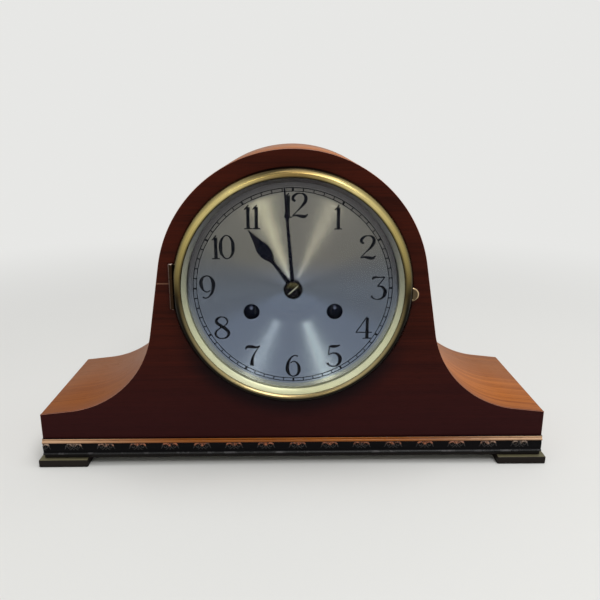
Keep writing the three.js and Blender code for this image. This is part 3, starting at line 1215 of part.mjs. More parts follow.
function strikeTrain() {
  const inside = (offset) => INNER_FRONT + offset;
  const pinWheelBack = inside(SECOND_WHEEL_AT) + PIN_DRIVE.face;
  const roots = pitchRadius(PIN_DRIVE.module, PIN_DRIVE.wheel) - WHEEL_DEDENDUM * PIN_DRIVE.module;
  const pinRim = roots - STRIKE_PIN_CIRCLE + 2 * STRIKE_PIN_RADIUS;
  const pins = [];
  for (let i = 0; i < STRIKE_PINS; i += 1) {
    const place = polar((2 * Math.PI * (i + 0.5)) / STRIKE_PINS, STRIKE_PIN_CIRCLE);
    const pinFront = pinWheelBack - PIN_DRIVE.face / 2;
    const pin = shaft([[STRIKE_PIN_RADIUS, pinFront], [0, pinWheelBack + STRIKE_PIN_LENGTH]]);
    pins.push(pin.translate(place.x, 0, place.y));
  }
  placed('pin_wheel', join(
    plateArbor(),
    pinionBy(GREAT, PIN_PHASE, inside(GREAT_WHEEL_AT)),
    wheel(PIN_DRIVE, inside(SECOND_WHEEL_AT), pinRim),
    ...pins,
  ), PIN_ARBOR);
  placed('gathering_wheel', join(
    plateArbor(SLIM_ARBOR_RADIUS),
    pinionBy(PIN_DRIVE, GATHERING_PHASE, inside(SECOND_WHEEL_AT)),
    wheel(FLY_DRIVE, inside(GATHERING_WHEEL_AT), RIM_WIDTH),
  ), GATHERING);
  const thin = FLY_THICKNESS / 2;
  const bladeFront = inside(FLY_BLADE_AT);
  const blade = box(-FLY_RADIUS, bladeFront, -thin, FLY_RADIUS, bladeFront + FLY_LENGTH, thin);
  blade.rotateY(FLY_ANGLE);
  placed('fly', join(
    plateArbor(SLIM_ARBOR_RADIUS),
    pinionBy(FLY_DRIVE, FLY_PHASE, inside(GATHERING_WHEEL_AT)),
    blade,
  ), FLY);
}

// A round wire between two points.
function wire(from, to, radius) {
  const path = new THREE.LineCurve3(from, to);
  const section = new THREE.Shape(circle(radius, ARBOR_SIDES));
  return new THREE.ExtrudeGeometry(section, { extrudePath: path, steps: 1, bevelEnabled: false });
}

// Hammer: arbor with its lifting tail, wire and head, hanging beside the gong.
function hammer() {
  const gongLeft = -GONG_REACH - gongRadiusAt(Math.PI) - GONG_STRIP_THICKNESS / 2;
  const face = gongLeft - HAMMER_GAP;
  const middle = new THREE.Vector3(face - HAMMER_LENGTH / 2 - HAMMER.x, GONG_Y, -GONG_DROP - HAMMER.y);
  const cylinder = new THREE.CylinderGeometry(HAMMER_RADIUS, HAMMER_RADIUS, HAMMER_LENGTH, BOSS_SIDES);
  const head = cylinder.rotateZ(Math.PI / 2).translate(middle.x, middle.y, middle.z);
  const hubFront = BACK_PLATE_REAR + HAMMER_HUB_GAP;
  const hubMiddle = hubFront + HAMMER_HUB_LENGTH / 2;
  const hub = slab(circle(HAMMER_HUB_RADIUS, HOLE_SIDES), hubFront, hubFront + HAMMER_HUB_LENGTH);
  const arbor = shaft([[ARBOR_RADIUS, FRONT_PLATE + PIVOT_END], [0, hubMiddle]]);
  const stem = wire(new THREE.Vector3(0, hubMiddle, 0), middle, HAMMER_WIRE_RADIUS);
  const toPins = PIN_ARBOR.clone().sub(HAMMER);
  const tailLength = toPins.length() - STRIKE_PIN_CIRCLE - STRIKE_PIN_RADIUS - 2 * RUNNING_GAP;
  const tailFront = INNER_FRONT + SECOND_WHEEL_AT + PIN_DRIVE.face + 2 * RUNNING_GAP;
  const half = HAMMER_TAIL_WIDTH / 2;
  const tail = box(0, tailFront, -half, tailLength, tailFront + HAMMER_TAIL_WIDTH, half);
  tail.rotateY(-toPins.angle());
  placed('hammer', join(arbor, hub, stem, head, tail), HAMMER, 'steel');
}

// ---------------------------------------------------------------- gong

const GONG_START = GONG_HEAD_RADIUS + 2 * SEAT_GAP + GONG_STRIP_THICKNESS / 2;

// Radius of the coil's outermost turn where it passes the angle given.
function gongRadiusAt(angle) {
  const lastPass = Math.floor(GONG_TURNS - angle / (2 * Math.PI)) + angle / (2 * Math.PI);
  return GONG_START + ((GONG_RADIUS - GONG_START) * lastPass) / GONG_TURNS;
}

class GongSpiral extends THREE.Curve {
  getPoint(t, target = new THREE.Vector3()) {
    const angle = 2 * Math.PI * GONG_TURNS * t;
    const radius = GONG_START + (GONG_RADIUS - GONG_START) * t;
    return target.set(radius * Math.cos(angle), 0, radius * Math.sin(angle));
  }
}

function gong() {
  const w = GONG_STRIP_WIDTH / 2;
  const t = GONG_STRIP_THICKNESS / 2;
  const section = new THREE.Shape([at(-w, -t), at(w, -t), at(w, t), at(-w, t)]);
  const spiral = new THREE.ExtrudeGeometry(section, {
    extrudePath: new GongSpiral(),
    steps: GONG_STEPS,
    bevelEnabled: false,
  });
  placed('gong_coil', spiral.translate(0, GONG_Y, 0), at(-GONG_REACH, -GONG_DROP), 'steel');

  const headFront = GONG_Y - GONG_STRIP_WIDTH;
  const postFront = GONG_Y + GONG_STRIP_WIDTH / 2 + GONG_POST_GAP;
  const postBack = postFront + GONG_POST_WIDTH;
  const half = GONG_POST_WIDTH / 2;
  const centreHeight = DIAL_HEIGHT - GONG_DROP;
  const head = shaft([[GONG_HEAD_RADIUS, headFront], [0, postBack]], BOSS_SIDES);
  const post = box(-half, postFront, BASE_TOP, half, postBack, centreHeight);
  const footEnd = GONG_FOOT_LENGTH / 2;
  const footFront = postFront - GONG_FOOT_MARGIN;
  const footBack = postBack + GONG_FOOT_MARGIN;
  const footOutline = roundedRectangle(-footEnd, footFront, footEnd, footBack, GONG_FOOT_CORNER);
  const foot = upright(footOutline, BASE_TOP, BASE_TOP + GONG_FOOT_THICKNESS);
  const whole = join(head.translate(0, 0, centreHeight), post, foot);
  add('gong_standard', whole, 'iron').position.x = -GONG_REACH;
}

// ---------------------------------------------------------------- assembly

frontPanel();
topSkin();
endBlock('left_end', -1);
endBlock('right_end', 1);
backPanel();
baseBoard();
frontMoulding();
foot('foot_front_left', -1, false);
foot('foot_front_right', 1, false);
foot('foot_back_left', -1, true);
foot('foot_back_right', 1, true);
backDoor();
doorTurnButton();

dialPan();
dial();
bezelRing();
bezelGlass();
sightRing();
bezelThumbPiece();
bezelHinge();
hands();

bar('upper_mounting_bar', BAR_OFFSET);
bar('lower_mounting_bar', -BAR_OFFSET);
frontPlate();
backPlate();
pillars();
windingArbor('going_winding_arbor', GOING_BARREL);
windingArbor('strike_winding_arbor', STRIKE_BARREL);
barrel('going_barrel', GOING_BARREL);
barrel('strike_barrel', STRIKE_BARREL);
click('going_click', GOING_BARREL);
click('strike_click', STRIKE_BARREL);
goingTrain();
escapeWheel();
anchor();
suspensionCock();
pendulum();
motionWork();
strikeTrain();
hammer();
gong();

// The box runs from the crown of the glass to the back of the door hinge.
const FRONT_REACH = GLASS_APEX;
const BACK_REACH = BACK_FACE + 2 * DOOR_HINGE_RADIUS;
clock.position.y = -(FRONT_REACH + BACK_REACH) / 2;

export default clock;
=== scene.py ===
import math

import bmesh
import bpy
from mathutils import Matrix, Quaternion, Vector


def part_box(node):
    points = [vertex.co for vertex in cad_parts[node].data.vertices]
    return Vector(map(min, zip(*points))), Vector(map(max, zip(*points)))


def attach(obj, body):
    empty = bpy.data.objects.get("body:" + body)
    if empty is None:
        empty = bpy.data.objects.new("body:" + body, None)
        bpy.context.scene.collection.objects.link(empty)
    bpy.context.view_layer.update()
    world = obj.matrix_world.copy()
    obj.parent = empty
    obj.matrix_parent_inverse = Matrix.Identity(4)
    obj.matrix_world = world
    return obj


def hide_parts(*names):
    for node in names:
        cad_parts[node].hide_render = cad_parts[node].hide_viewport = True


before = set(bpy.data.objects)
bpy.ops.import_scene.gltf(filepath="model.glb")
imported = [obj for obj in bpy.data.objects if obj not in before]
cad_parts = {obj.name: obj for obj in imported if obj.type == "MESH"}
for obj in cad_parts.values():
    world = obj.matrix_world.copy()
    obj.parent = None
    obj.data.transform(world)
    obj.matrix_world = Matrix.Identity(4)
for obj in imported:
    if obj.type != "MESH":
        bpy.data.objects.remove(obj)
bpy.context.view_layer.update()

# Mantel clock: its looks, built over the solids. Shapes are drawn in millimetres from the face of
# the front panel (Y = 0, Y to the back) and from the shelf or the dial's centre, and are put in
# their place, in metres, once they are whole.
MM = 0.001
FACE_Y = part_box("front_panel")[0].y
DIAL_Z = (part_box("dial")[0].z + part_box("dial")[1].z) / 2
CASE = Matrix.Translation((0, FACE_Y, 0)) @ Matrix.Scale(MM, 4)
DIAL = Matrix.Translation((0, FACE_Y, DIAL_Z)) @ Matrix.Scale(MM, 4)
DIAL_HEIGHT = DIAL_Z / MM

RING_STEPS = 180
SMALL_STEPS = 32
QUARTER = math.pi / 2
SHARP_EDGE = math.radians(40)
CREASE = math.radians(30)

# Case
HALF_WIDTH = 200
CASE_DEPTH = 122.7
BASE_LOW, BASE_HIGH = 6.2, 20.2
ARCH_Z, ARCH_RADIUS = 146.9, 101.7
SWEEP_X, SWEEP_Z, SWEEP_RADIUS = 184.847, 122.993, 76.6
FLANK_LEAN = math.radians(9.57)
SHOULDER_SLOPE = math.radians(6.43)
SKIN = 4
VENEER = 1.2
PANEL_DEPTH = 9
END_DEPTH = 8
DIAL_HOLE = 84
WORN_RADIUS = 95
BACK_FACE = 121.2
MOULDING_LOW = 9.9
MOULDING_HEIGHT = 13.8

# Places measured from the dial's centre
WINDING_X, WINDING_Z = 31.6, -18.4
THUMB_X, THUMB_Z = 88.6, -3.2
VENEER_JOINT_Z = 4.6


# -------------------- drawing and joining


class Outline:
    """A run of edges in X and Z, drawn by moving and turning its last point."""

    def __init__(self, x, z, bm=None):
        self.bm = bmesh.new() if bm is None else bm
        self.start = self.tip = self.bm.verts.new((x, 0, z))

    def to(self, x, z):
        made = bmesh.ops.extrude_vert_indiv(self.bm, verts=[self.tip])
        self.tip = made["verts"][0]
        self.tip.co.x, self.tip.co.z = x, z
        return self

    def turn(self, x, z, angle, steps):
        made = bmesh.ops.spin(
            self.bm, geom=[self.tip], cent=(x, 0, z), axis=(0, -1, 0), angle=angle, steps=steps
        )
        self.tip = made["geom_last"][0]
        return self

    def close(self):
        self.bm.edges.new((self.tip, self.start))
        return self


def moved(x=0, y=0, z=0):
    return Matrix.Translation((x, y, z))


def everything(bm):
    return bm.verts[:] + bm.edges[:] + bm.faces[:]


def mirror_x(bm):
    bmesh.ops.mirror(bm, geom=everything(bm), axis="X", merge_dist=1e-4)
    bmesh.ops.remove_doubles(bm, verts=bm.verts, dist=1e-4)


def face_out(bm):
    bmesh.ops.recalc_face_normals(bm, faces=bm.faces)


def thicken(bm, depth):
    """Fills the closed outlines and draws them back by a depth."""
    bmesh.ops.triangle_fill(bm, use_beauty=True, use_dissolve=False, edges=bm.edges[:])
    made = bmesh.ops.extrude_face_region(bm, geom=bm.faces[:])
    far = [part for part in made["geom"] if isinstance(part, bmesh.types.BMVert)]
    bmesh.ops.translate(bm, vec=(0, depth, 0), verts=far)
    face_out(bm)


def round_off(bm, geom, width, segments, affect):
    """Rounds edges or corners to a width."""
    bmesh.ops.bevel(
        bm, geom=geom, offset=width, offset_type="OFFSET", segments=segments, profile=0.5,
        affect=affect, clamp_overlap=True, material=-1,
    )


def soften(bm, width, segments=2, where=lambda edge: True):
    """Rounds the sharp edges that the test picks."""
    edges = [
        edge
        for edge in bm.edges
        if len(edge.link_faces) == 2 and edge.calc_face_angle() > SHARP_EDGE and where(edge)
    ]
    round_off(bm, edges, width, segments, "EDGES")


def at_depth(y):
    return lambda edge: all(abs(vert.co.y - y) < 1e-3 for vert in edge.verts)


def ring(radius, steps, x=0, z=0, y=0, bm=None):
    """A circle of edges that faces along Y."""
    bm = bm or bmesh.new()
    place = moved(x, y, z) @ Matrix.Rotation(QUARTER, 4, "X")
    bmesh.ops.create_circle(bm, cap_ends=False, radius=radius, segments=steps, matrix=place)
    return bm


def turned(profile, steps=RING_STEPS, rounding=0.0, bm=None, closed=True):
    """A profile of (radius, depth) turned about the Y axis, with its corners rounded first."""
    wire = bmesh.new()
    verts = [wire.verts.new((radius, y, 0)) for radius, y in profile]
    for pair in zip(verts, verts[1:] + (verts[:1] if closed else [])):
        wire.edges.new(pair)
    if rounding:
        corners = [vert for vert in verts if len(vert.link_edges) == 2 and vert.co.x > 1e-3]
        round_off(wire, corners, rounding, 3, "VERTICES")
    bmesh.ops.spin(
        wire, geom=everything(wire), cent=(0, 0, 0), axis=(0, 1, 0), angle=2 * math.pi,
        steps=steps, use_merge=True,
    )
    bmesh.ops.remove_doubles(wire, verts=wire.verts, dist=1e-4)
    face_out(wire)
    return merged(bm, wire)


def merged(bm, extra, place=None):
    """Adds one mesh to another, moved to its place."""
    if place is not None:
        bmesh.ops.transform(extra, matrix=place, verts=extra.verts)
    if bm is None:
        return extra
    carrier = bpy.data.meshes.new("carrier")
    extra.to_mesh(carrier)
    extra.free()
    bm.from_mesh(carrier)
    bpy.data.meshes.remove(carrier)
    return bm


def block(x0, y0, z0, x1, y1, z1):
    """A rectangular bar between two corners."""
    bm = bmesh.new()
    bmesh.ops.create_cube(bm, size=1)
    bmesh.ops.scale(bm, vec=(x1 - x0, y1 - y0, z1 - z0), verts=bm.verts)
    bmesh.ops.translate(bm, vec=((x0 + x1) / 2, (y0 + y1) / 2, (z0 + z1) / 2), verts=bm.verts)
    return bm


def solid_box(node):
    """Two opposite corners of a solid, in millimetres."""
    return [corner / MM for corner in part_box(node)]


def stroke(points, thickness=None, closed=False, sides=0):
    """A tapered rod through (x, z, half width) points, pressed flat to a thickness along Y."""
    curve = bpy.data.curves.new("stroke", "CURVE")
    curve.dimensions = "3D"
    curve.bevel_depth = 1
    curve.bevel_resolution = sides
    curve.use_fill_caps = True
    curve.resolution_u = 8
    spline = curve.splines.new("BEZIER")
    spline.bezier_points.add(len(points) - 1)
    spline.use_cyclic_u = closed
    spline.radius_interpolation = "CARDINAL"
    for knot, (x, z, half) in zip(spline.bezier_points, points):
        knot.co = (x, 0, z)
        knot.radius = half
        knot.handle_left_type = knot.handle_right_type = "AUTO"
    holder = bpy.data.objects.new("stroke", curve)
    mesh = bpy.data.meshes.new_from_object(holder)
    bm = bmesh.new()
    bm.from_mesh(mesh)
    bpy.data.objects.remove(holder)
    bpy.data.curves.remove(curve)
    bpy.data.meshes.remove(mesh)
    bmesh.ops.remove_doubles(bm, verts=bm.verts, dist=1e-5)
    if thickness is not None:
        for vert in bm.verts:
            if abs(vert.co.y) > 1e-6:
                vert.co.y = math.copysign(thickness / 2, vert.co.y)
    face_out(bm)
    return bm


def into_scene(name, bm):
    """Makes an object of a mesh and links it to the scene."""
    mesh = bpy.data.meshes.new(name)
    bm.to_mesh(mesh)
    bm.free()
    holder = bpy.data.objects.new(name, mesh)
    bpy.context.scene.collection.objects.link(holder)
    return holder


def finish_piece(name, bm, finishes, nodes, body="case", place=CASE, flats="Y"):
    """Puts a mesh in its place as a piece that rides on a body and stands for its solids.
    Faces square to the axes in flats keep their own normals, so that they stay truly flat."""
    bmesh.ops.transform(bm, matrix=place, verts=bm.verts)
    piece = into_scene(name, bm)
    mesh = piece.data
    mesh.shade_smooth()
    mesh.set_sharp_from_angle(angle=CREASE)
    for polygon in mesh.polygons:
        square = zip("XYZ", polygon.normal)
        if any(axis in flats and abs(part) > 0.99999 for axis, part in square):
            polygon.use_smooth = False
    for finish in finishes:
        mesh.materials.append(finish.material)
    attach(piece, body)
    if nodes:
        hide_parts(*nodes)


# -------------------- materials


class Link:
    """A socket that can be reckoned with: a sum on it adds Math nodes."""

    def __init__(self, looks, socket):
        self.looks = looks
        self.socket = socket

    def maths(self, operation, *values):
        return self.looks.node("Math", {"operation": operation}, dict(enumerate(values)))

    def __add__(self, other):
        return self.maths("ADD", self, other)

    def __radd__(self, other):
        return self.maths("ADD", other, self)

    def __sub__(self, other):
        return self.maths("SUBTRACT", self, other)

    def __rsub__(self, other):
        return self.maths("SUBTRACT", other, self)

    def __mul__(self, other):
        return self.maths("MULTIPLY", self, other)

    def __rmul__(self, other):
        return self.maths("MULTIPLY", other, self)

    def __truediv__(self, other):
        return self.maths("DIVIDE", self, other)

    def __pow__(self, other):
        return self.maths("POWER", self, other)

    def between(self, low, high):
        """0 below low and 1 above high, smooth between them. Low may be the larger."""
        settings = {"interpolation_type": "SMOOTHSTEP"}
        flip = low > high
        low, high = sorted((low, high))
        values = {"Value": self, "From Min": low, "From Max": high}
        step = self.looks.node("MapRange", settings, values)
        return 1 - step if flip else step


def shade(colour):
    """Makes a colour linear that is given as it looks on a screen, 0 to 255 in three parts."""
    if isinstance(colour, Link) or len(colour) == 4:
        return colour
    linear = [
        ((part / 255 + 0.055) / 1.055) ** 2.4 if part > 10 else part / 3294.6 for part in colour
    ]
    return (*linear, 1.0)


class Looks:
    """A tree of nodes as it is put together."""

    def __init__(self, owner):
        owner.use_nodes = True
        self.tree = owner.node_tree

    def node(self, kind, settings=None, values=None, output=0):
        node = self.tree.nodes.new("ShaderNode" + kind)
        for name, value in (settings or {}).items():
            setattr(node, name, value)
        for socket, value in (values or {}).items():
            if isinstance(value, Link):
                self.tree.links.new(value.socket, node.inputs[socket])
            else:
                node.inputs[socket].default_value = value
        return Link(self, node.outputs[output])

    def first_output(self, name):
        return Link(self, self.tree.nodes[name].outputs[0])

    def blend(self, share, first, second, end="Material Output"):
        """Ends the tree in a blend of two shaders."""
        both = self.node("MixShader", {}, {0: share, 1: first, 2: second})
        self.tree.links.new(both.socket, self.tree.nodes[end].inputs["Surface"])

    def seen_directly(self):
        """1 where the camera sees a surface by itself, in a mirror or through glass."""
        seen = self.node("LightPath", {}, {}, "Is Camera Ray")
        rays = seen.socket.node.outputs
        for kind in ("Is Glossy Ray", "Is Transmission Ray"):
            seen = seen.maths("MAXIMUM", seen, Link(self, rays[kind]))
        return seen


class Finish(Looks):
    """A material, laid out on a piece's own coordinates."""

    def __init__(self, name, metallic=0.0, specular=0.5):
        self.material = bpy.data.materials.new(name)
        super().__init__(self.material)
        self.shader = self.tree.nodes["Principled BSDF"]
        self.shader.inputs["Metallic"].default_value = metallic
        self.shader.inputs["Specular IOR Level"].default_value = specular
        self.place = self.node("TexCoord", {}, {}, "Object")

    def feed(self, **sockets):
        for socket, value in sockets.items():
            self.tree.links.new(value.socket, self.shader.inputs[socket.replace("_", " ")])
        return self

    def surface(self, colour, roughness, relief, depth, strength=0.4):
        """Gives the material its colour, roughness and fine relief, in millimetres."""
        values = {"Strength": strength, "Distance": depth * MM, "Height": relief}
        normal = self.node("Bump", {}, values)
        return self.feed(Base_Color=colour, Roughness=roughness, Normal=normal)

    def split(self):
        parts = self.node("SeparateXYZ", {}, {0: self.place}).socket.node
        return [Link(self, output) for output in parts.outputs]

    def noise(self, scale, detail=2.0, rough=0.5, shift=(0, 0, 0), distortion=0.0):
        """Cloudy noise. scale is one number, or one for each axis."""
        scales = scale if isinstance(scale, tuple) else (scale, scale, scale)
        place = self.node("Mapping", {}, {0: self.place, "Location": shift, "Scale": scales})
        values = {"Vector": place, "Scale": 1.0, "Detail": detail, "Roughness": rough}
        return self.node("TexNoise", {}, {**values, "Distortion": distortion})

    def mix(self, share, first, second):
        values = {0: share, 6: shade(first), 7: shade(second)}
        return self.node("Mix", {"data_type": "RGBA"}, values, 2)

    def ramp(self, share, *stops):
        """Colours at their places along a share from 0 to 1."""
        ramp = self.node("ValToRGB", {}, {0: share})
        marks = ramp.socket.node.color_ramp.elements
        while len(marks) < len(stops):
            marks.new(0.5)
        for mark, (position, colour) in zip(marks, stops):
            mark.position, mark.color = position, shade(colour)
        return ramp


def wood(name, dark, light, run, gloss, specular, pore=0.5, drift=None):
    """Polished or stained wood. run is the axis or axes that the grain follows."""
    finish = Finish(name, specular=specular)
    along = lambda fine, slow: tuple(slow if axis in run else fine for axis in "XYZ")
    bands = finish.noise(along(150, 4), 3, 0.55, distortion=0.5)
    lines = finish.noise(along(700, 9), 2, 0.6, shift=(3.1, 7.7, 1.3))
    pores = finish.noise(along(2600, 130), 1, 0.5, shift=(5.0, 2.0, 9.0)).between(0.60, 0.72)
    cloud = finish.noise(9, 2, 0.5, shift=(1.0, 4.0, 2.0))
    tone = bands * 0.6 + lines * 0.4 + (cloud - 0.5) * 0.35
    colour = finish.ramp(tone, (0.30, dark), (0.68, light))
    if drift:
        colour = drift(finish, colour)
    deep = (*(0.45 * part for part in shade(dark)[:3]), 1)
    colour = finish.mix(pores * pore, colour, deep)
    return finish.surface(
        colour, gloss + (lines - 0.5) * 0.10 + pores * 0.12, lines * 0.4 - pores * 0.6, depth=0.06
    )


def metal(name, colour, tarnish, gloss, wear=0.35, scratch=0.08):
    """A metal with faint tarnish in clouds and fine rubbing marks."""
    finish = Finish(name, metallic=1.0)
    clouds = finish.noise(60, 4, 0.6).between(0.42, 0.72)
    specks = finish.noise(900, 2, 0.6, shift=(4.0, 1.0, 7.0)).between(0.62, 0.80)
    rubs = finish.noise((3500, 260, 900), 2, 0.5, shift=(2.0, 8.0, 5.0))
    return finish.surface(
        finish.mix(clouds * wear + specks * (wear * 0.5), colour, tarnish),
        gloss + clouds * (wear * 0.35) + (rubs - 0.5) * scratch, rubs * 0.5 - specks * 0.5,
        depth=0.03, strength=0.35,
    )


def round_the_dial(finish):
    """Height above the dial's centre, distance to its right, and radius, in millimetres."""
    x, _, z = finish.split()
    up = (z - DIAL_Z) / MM
    across = x / MM
    return up, across, (up * up + across * across) ** 0.5 + 0.001


def face_painted_light_and_joint(finish, colour):
    """The face is warmest round the arch and coolest along its foot, a painted cool reflection,
    with a painted shadow under the bezel and an open joint in the veneer beside the hinge."""
    up, across, radius = round_the_dial(finish)
    # Painted reflection: the lower face turns cool and purplish, as if mirroring something cool
    # below it.
    painted_cool_reflection = finish.mix(up.between(-16, -116) * 0.8, colour, (44, 14, 17))
    # Painted shadow: the face darkens just below the bezel, where the bezel's shadow falls.
    painted_bezel_shadow = radius.between(108, 91) * (up / radius).between(-0.3, -0.8)
    painted_bezel_shadow = finish.mix(painted_bezel_shadow * 0.8, painted_cool_reflection, (12, 7, 12))
    joint = ((up - VENEER_JOINT_Z) ** 2).between(0.35, 0.1) * across.between(-91, -92)
    return finish.mix(joint * 0.7, painted_bezel_shadow, (128, 92, 74))


def skin_tone_and_painted_light(finish, colour):
    """Old polish, golden to the back, with painted light: painted shade on the left shoulder and on
    the steep right sweep, and a painted sheen along the front.
    """
    x, y, _ = finish.split()
    # Painted shade: the left shoulder is darker than the right, as if lit less.
    left = finish.mix(x.between(0.04, -0.10) * 0.65, colour, (112, 62, 28))
    golden = finish.mix(y.between(-0.02, 0.05) * 0.6, left, (130, 76, 32))
    # Painted sheen: a pale band along the front edge.
    painted_light = finish.mix(y.between(-0.035, -0.056) * 0.35, golden, (128, 84, 66))
    # Painted shade: the steep part of the right sweep is darker.
    return finish.mix(x.between(0.13, 0.10) * x.between(0.03, 0.08) * 0.7, painted_light, (64, 30, 18))


FACE_WOOD = wood("face_mahogany", (40, 11, 5), (68, 23, 11), "X", 0.34, 0.06, 0.35, face_painted_light_and_joint)
WORN_EDGE = wood("worn_edge", (120, 66, 42), (178, 118, 90), "X", 0.3, 0.3)
SKIN_WOOD = wood("skin_mahogany", (132, 70, 28), (192, 116, 54), "XZ", 0.4, 0.05, 0.4, skin_tone_and_painted_light)
END_WOOD = wood("end_mahogany", (110, 58, 26), (160, 96, 48), "Y", 0.3, 0.2)
BACK_WOOD = wood("back_board", (92, 58, 34), (138, 94, 60), "X", 0.62, 0.35)
STAINED_WOOD = wood("stained_board", (14, 11, 10), (28, 22, 19), "X", 0.48, 0.12)
FOOT_WOOD = wood("stained_foot", (18, 13, 12), (34, 28, 24), "X", 0.5, 0.12)
# Painted light: the feet's top faces take a paler copy of the foot wood, as if lit from above.
FOOT_TOP_PAINTED_LIGHT = wood("foot_top_painted_light", (92, 88, 66), (124, 118, 92), "X", 0.6, 0.1)

BRASS = metal("case_brass", (176, 136, 74), (110, 82, 42), 0.26)
MOVEMENT_BRASS = metal("movement_brass", (184, 146, 84), (128, 98, 54), 0.32, 0.25)
PIN_STEEL = metal("hinge_pin_steel", (226, 208, 198), (170, 146, 130), 0.28, 0.3)
# Painted shade: the movement's front plate is near black, standing for the dark seen through the
# winding holes.
PLATE_PAINTED_SHADE = metal("shaded_plate", (16, 15, 18), (9, 9, 11), 0.5, 0.4)
STEEL = metal("bright_steel", (150, 152, 155), (96, 92, 88), 0.3, 0.3)
BLUED_STEEL = metal("blued_steel", (17, 19, 30), (26, 18, 15), 0.26, 0.4, 0.05)
IRON = metal("gong_iron", (52, 50, 49), (30, 24, 20), 0.55, 0.5)


def bezel_brass():
    """Brass with painted reflections round its crest, lightest at the upper sides, and painted
    shade on its flanks, the outer one most of all below.
    """
    finish = Finish("bezel_brass", metallic=1.0)
    up, _, radius = round_the_dial(finish)
    upward = up / radius * 0.5 + 0.5
    clouds = finish.noise(45, 4, 0.6).between(0.40, 0.75)
    turning = finish.noise((2400, 900, 2400), 2, 0.5)
    # Painted reflections: the crest's colour changes round the ring, lightest some 30 degrees
    # either side of the top and darkest at the sides.
    crest = finish.ramp(
        upward, (0.0, (140, 124, 88)), (0.07, (172, 156, 114)), (0.25, (140, 128, 92)),
        (0.48, (66, 56, 36)), (0.75, (186, 168, 104)), (0.93, (232, 214, 146)),
        (1.0, (140, 118, 72)),
    )
    # Painted shade: dark bands on the inner and outer flanks above, on the outer flank below, and
    # on the top of the crest.
    above = upward.between(0.42, 0.58)
    high = radius.between(84.9, 83.1) * 0.85 + radius.between(86.3, 88.3) * 0.5
    high = high + radius.between(89, 90.3) * 0.3
    high = high + upward.between(0.94, 1) * radius.between(86, 87) * 0.3
    dark = high * above + radius.between(83.8, 85.8) * (1 - above)
    clouded = finish.mix(clouds * 0.25, crest, (112, 86, 40))
    return finish.surface(
        finish.mix(dark, clouded, (28, 25, 20)), 0.2 + clouds * 0.1 + (turning - 0.5) * 0.06,
        turning, depth=0.02, strength=0.3,
    )


def sight_brass():
    """Pale lacquered brass with painted light: bright and yellow below, where the light falls on
    it, and painted shade above.
    """
    finish = Finish("sight_ring_brass", metallic=0.5)
    up, _, radius = round_the_dial(finish)
    clouds = finish.noise(70, 3, 0.6)
    # Painted light and shade: the colour runs from bright yellow at the bottom to dark grey at the
    # top.
    tone = finish.ramp(
        up / radius * 0.5 + 0.5, (0.0, (240, 236, 194)), (0.07, (255, 252, 216)),
        (0.25, (250, 248, 206)), (0.5, (186, 184, 160)), (0.75, (128, 128, 130)),
        (1.0, (84, 78, 82)),
    )
    lines = finish.noise((2600, 900, 2600), 2, 0.5)
    return finish.surface(
        finish.mix((clouds - 0.35) * 0.25, tone, (150, 140, 96)), 0.34 + (lines - 0.5) * 0.1, lines,
        depth=0.02,
    )


def silvered_dial():
    """Silvered brass brushed round and round. Its grooves draw a lamp out into a fan on each side
    of the centre, so the surface leans along each line through the centre as the grooves do."""
    groove_lean, lean_loss = 0.335, 0.00139
    finish = Finish("brushed_silver", metallic=1.0)
    up, across, radius = round_the_dial(finish)
    upward = up / radius
    above = upward.between(-0.35, 0.35)
    side = (above * 2 - 1) * (radius.between(4, 11) * above + radius.between(12, 34) * (1 - above))
    side = side * (1 - above * radius.between(66, 77))
    lean = side * groove_lean - radius * lean_loss * side * side
    values = {"W": radius * 0.9, "Scale": 1.0, "Detail": 3.0}
    rings = finish.node("TexNoise", {"noise_dimensions": "1D"}, values)
    out = finish.node("CombineXYZ", {}, {0: across / radius, 2: upward})
    lean = finish.node("VectorMath", {"operation": "SCALE"}, {0: out, "Scale": lean})
    straight = finish.node("NewGeometry", {}, {}, "Normal")
    leaning = finish.node("VectorMath", {"operation": "ADD"}, {0: straight, 1: lean})
    normal = finish.node("VectorMath", {"operation": "NORMALIZE"}, {0: leaning})
    clouds = finish.noise(25, 3, 0.6)
    # Painted reflection: warm grey above and cool blue grey below, as if mirroring the room above
    # and something blue below.
    warm = finish.mix(clouds, (114, 112, 106), (122, 116, 112))
    cool = finish.mix(clouds, (108, 117, 138), (114, 124, 146))
    tone = finish.mix(up.between(26, -8), warm, cool)
    # Painted reflection: the dial is darker and bluer at its sides.
    sides = (upward * upward).between(0.3, 0.02)
    tone = finish.mix(sides * 0.6, tone, (88, 92, 100))
    # Painted reflection: the lower margin is paler, mirroring the pale sight ring.
    painted_ring_reflection = radius.between(75.6, 78) * up.between(0, -40)
    tone = finish.mix(painted_ring_reflection * 0.7, tone, (150, 150, 138))
    # Painted shadow: the upper margin is darkened, where the bezel's shadow falls on the dial.
    rim = radius.between(70, 78) * up.between(-25, 30)
    tone = finish.mix(rim * 0.85, tone, (58, 53, 58))
    return finish.feed(
        Base_Color=finish.mix((rings - 0.5) * 0.35 + 0.1, tone, (132, 134, 136)),
        Roughness=0.2 + (clouds - 0.5) * 0.04,
        Normal=normal,
    )


def printed_ink():
    finish = Finish("numeral_ink", specular=0.08)
    worn = finish.noise(900, 3, 0.6)
    return finish.surface(
        finish.mix(worn.between(0.5, 0.9), (6, 8, 18), (24, 26, 38)), 0.45 + (worn - 0.5) * 0.2,
        worn, depth=0.01, strength=0.3,
    )


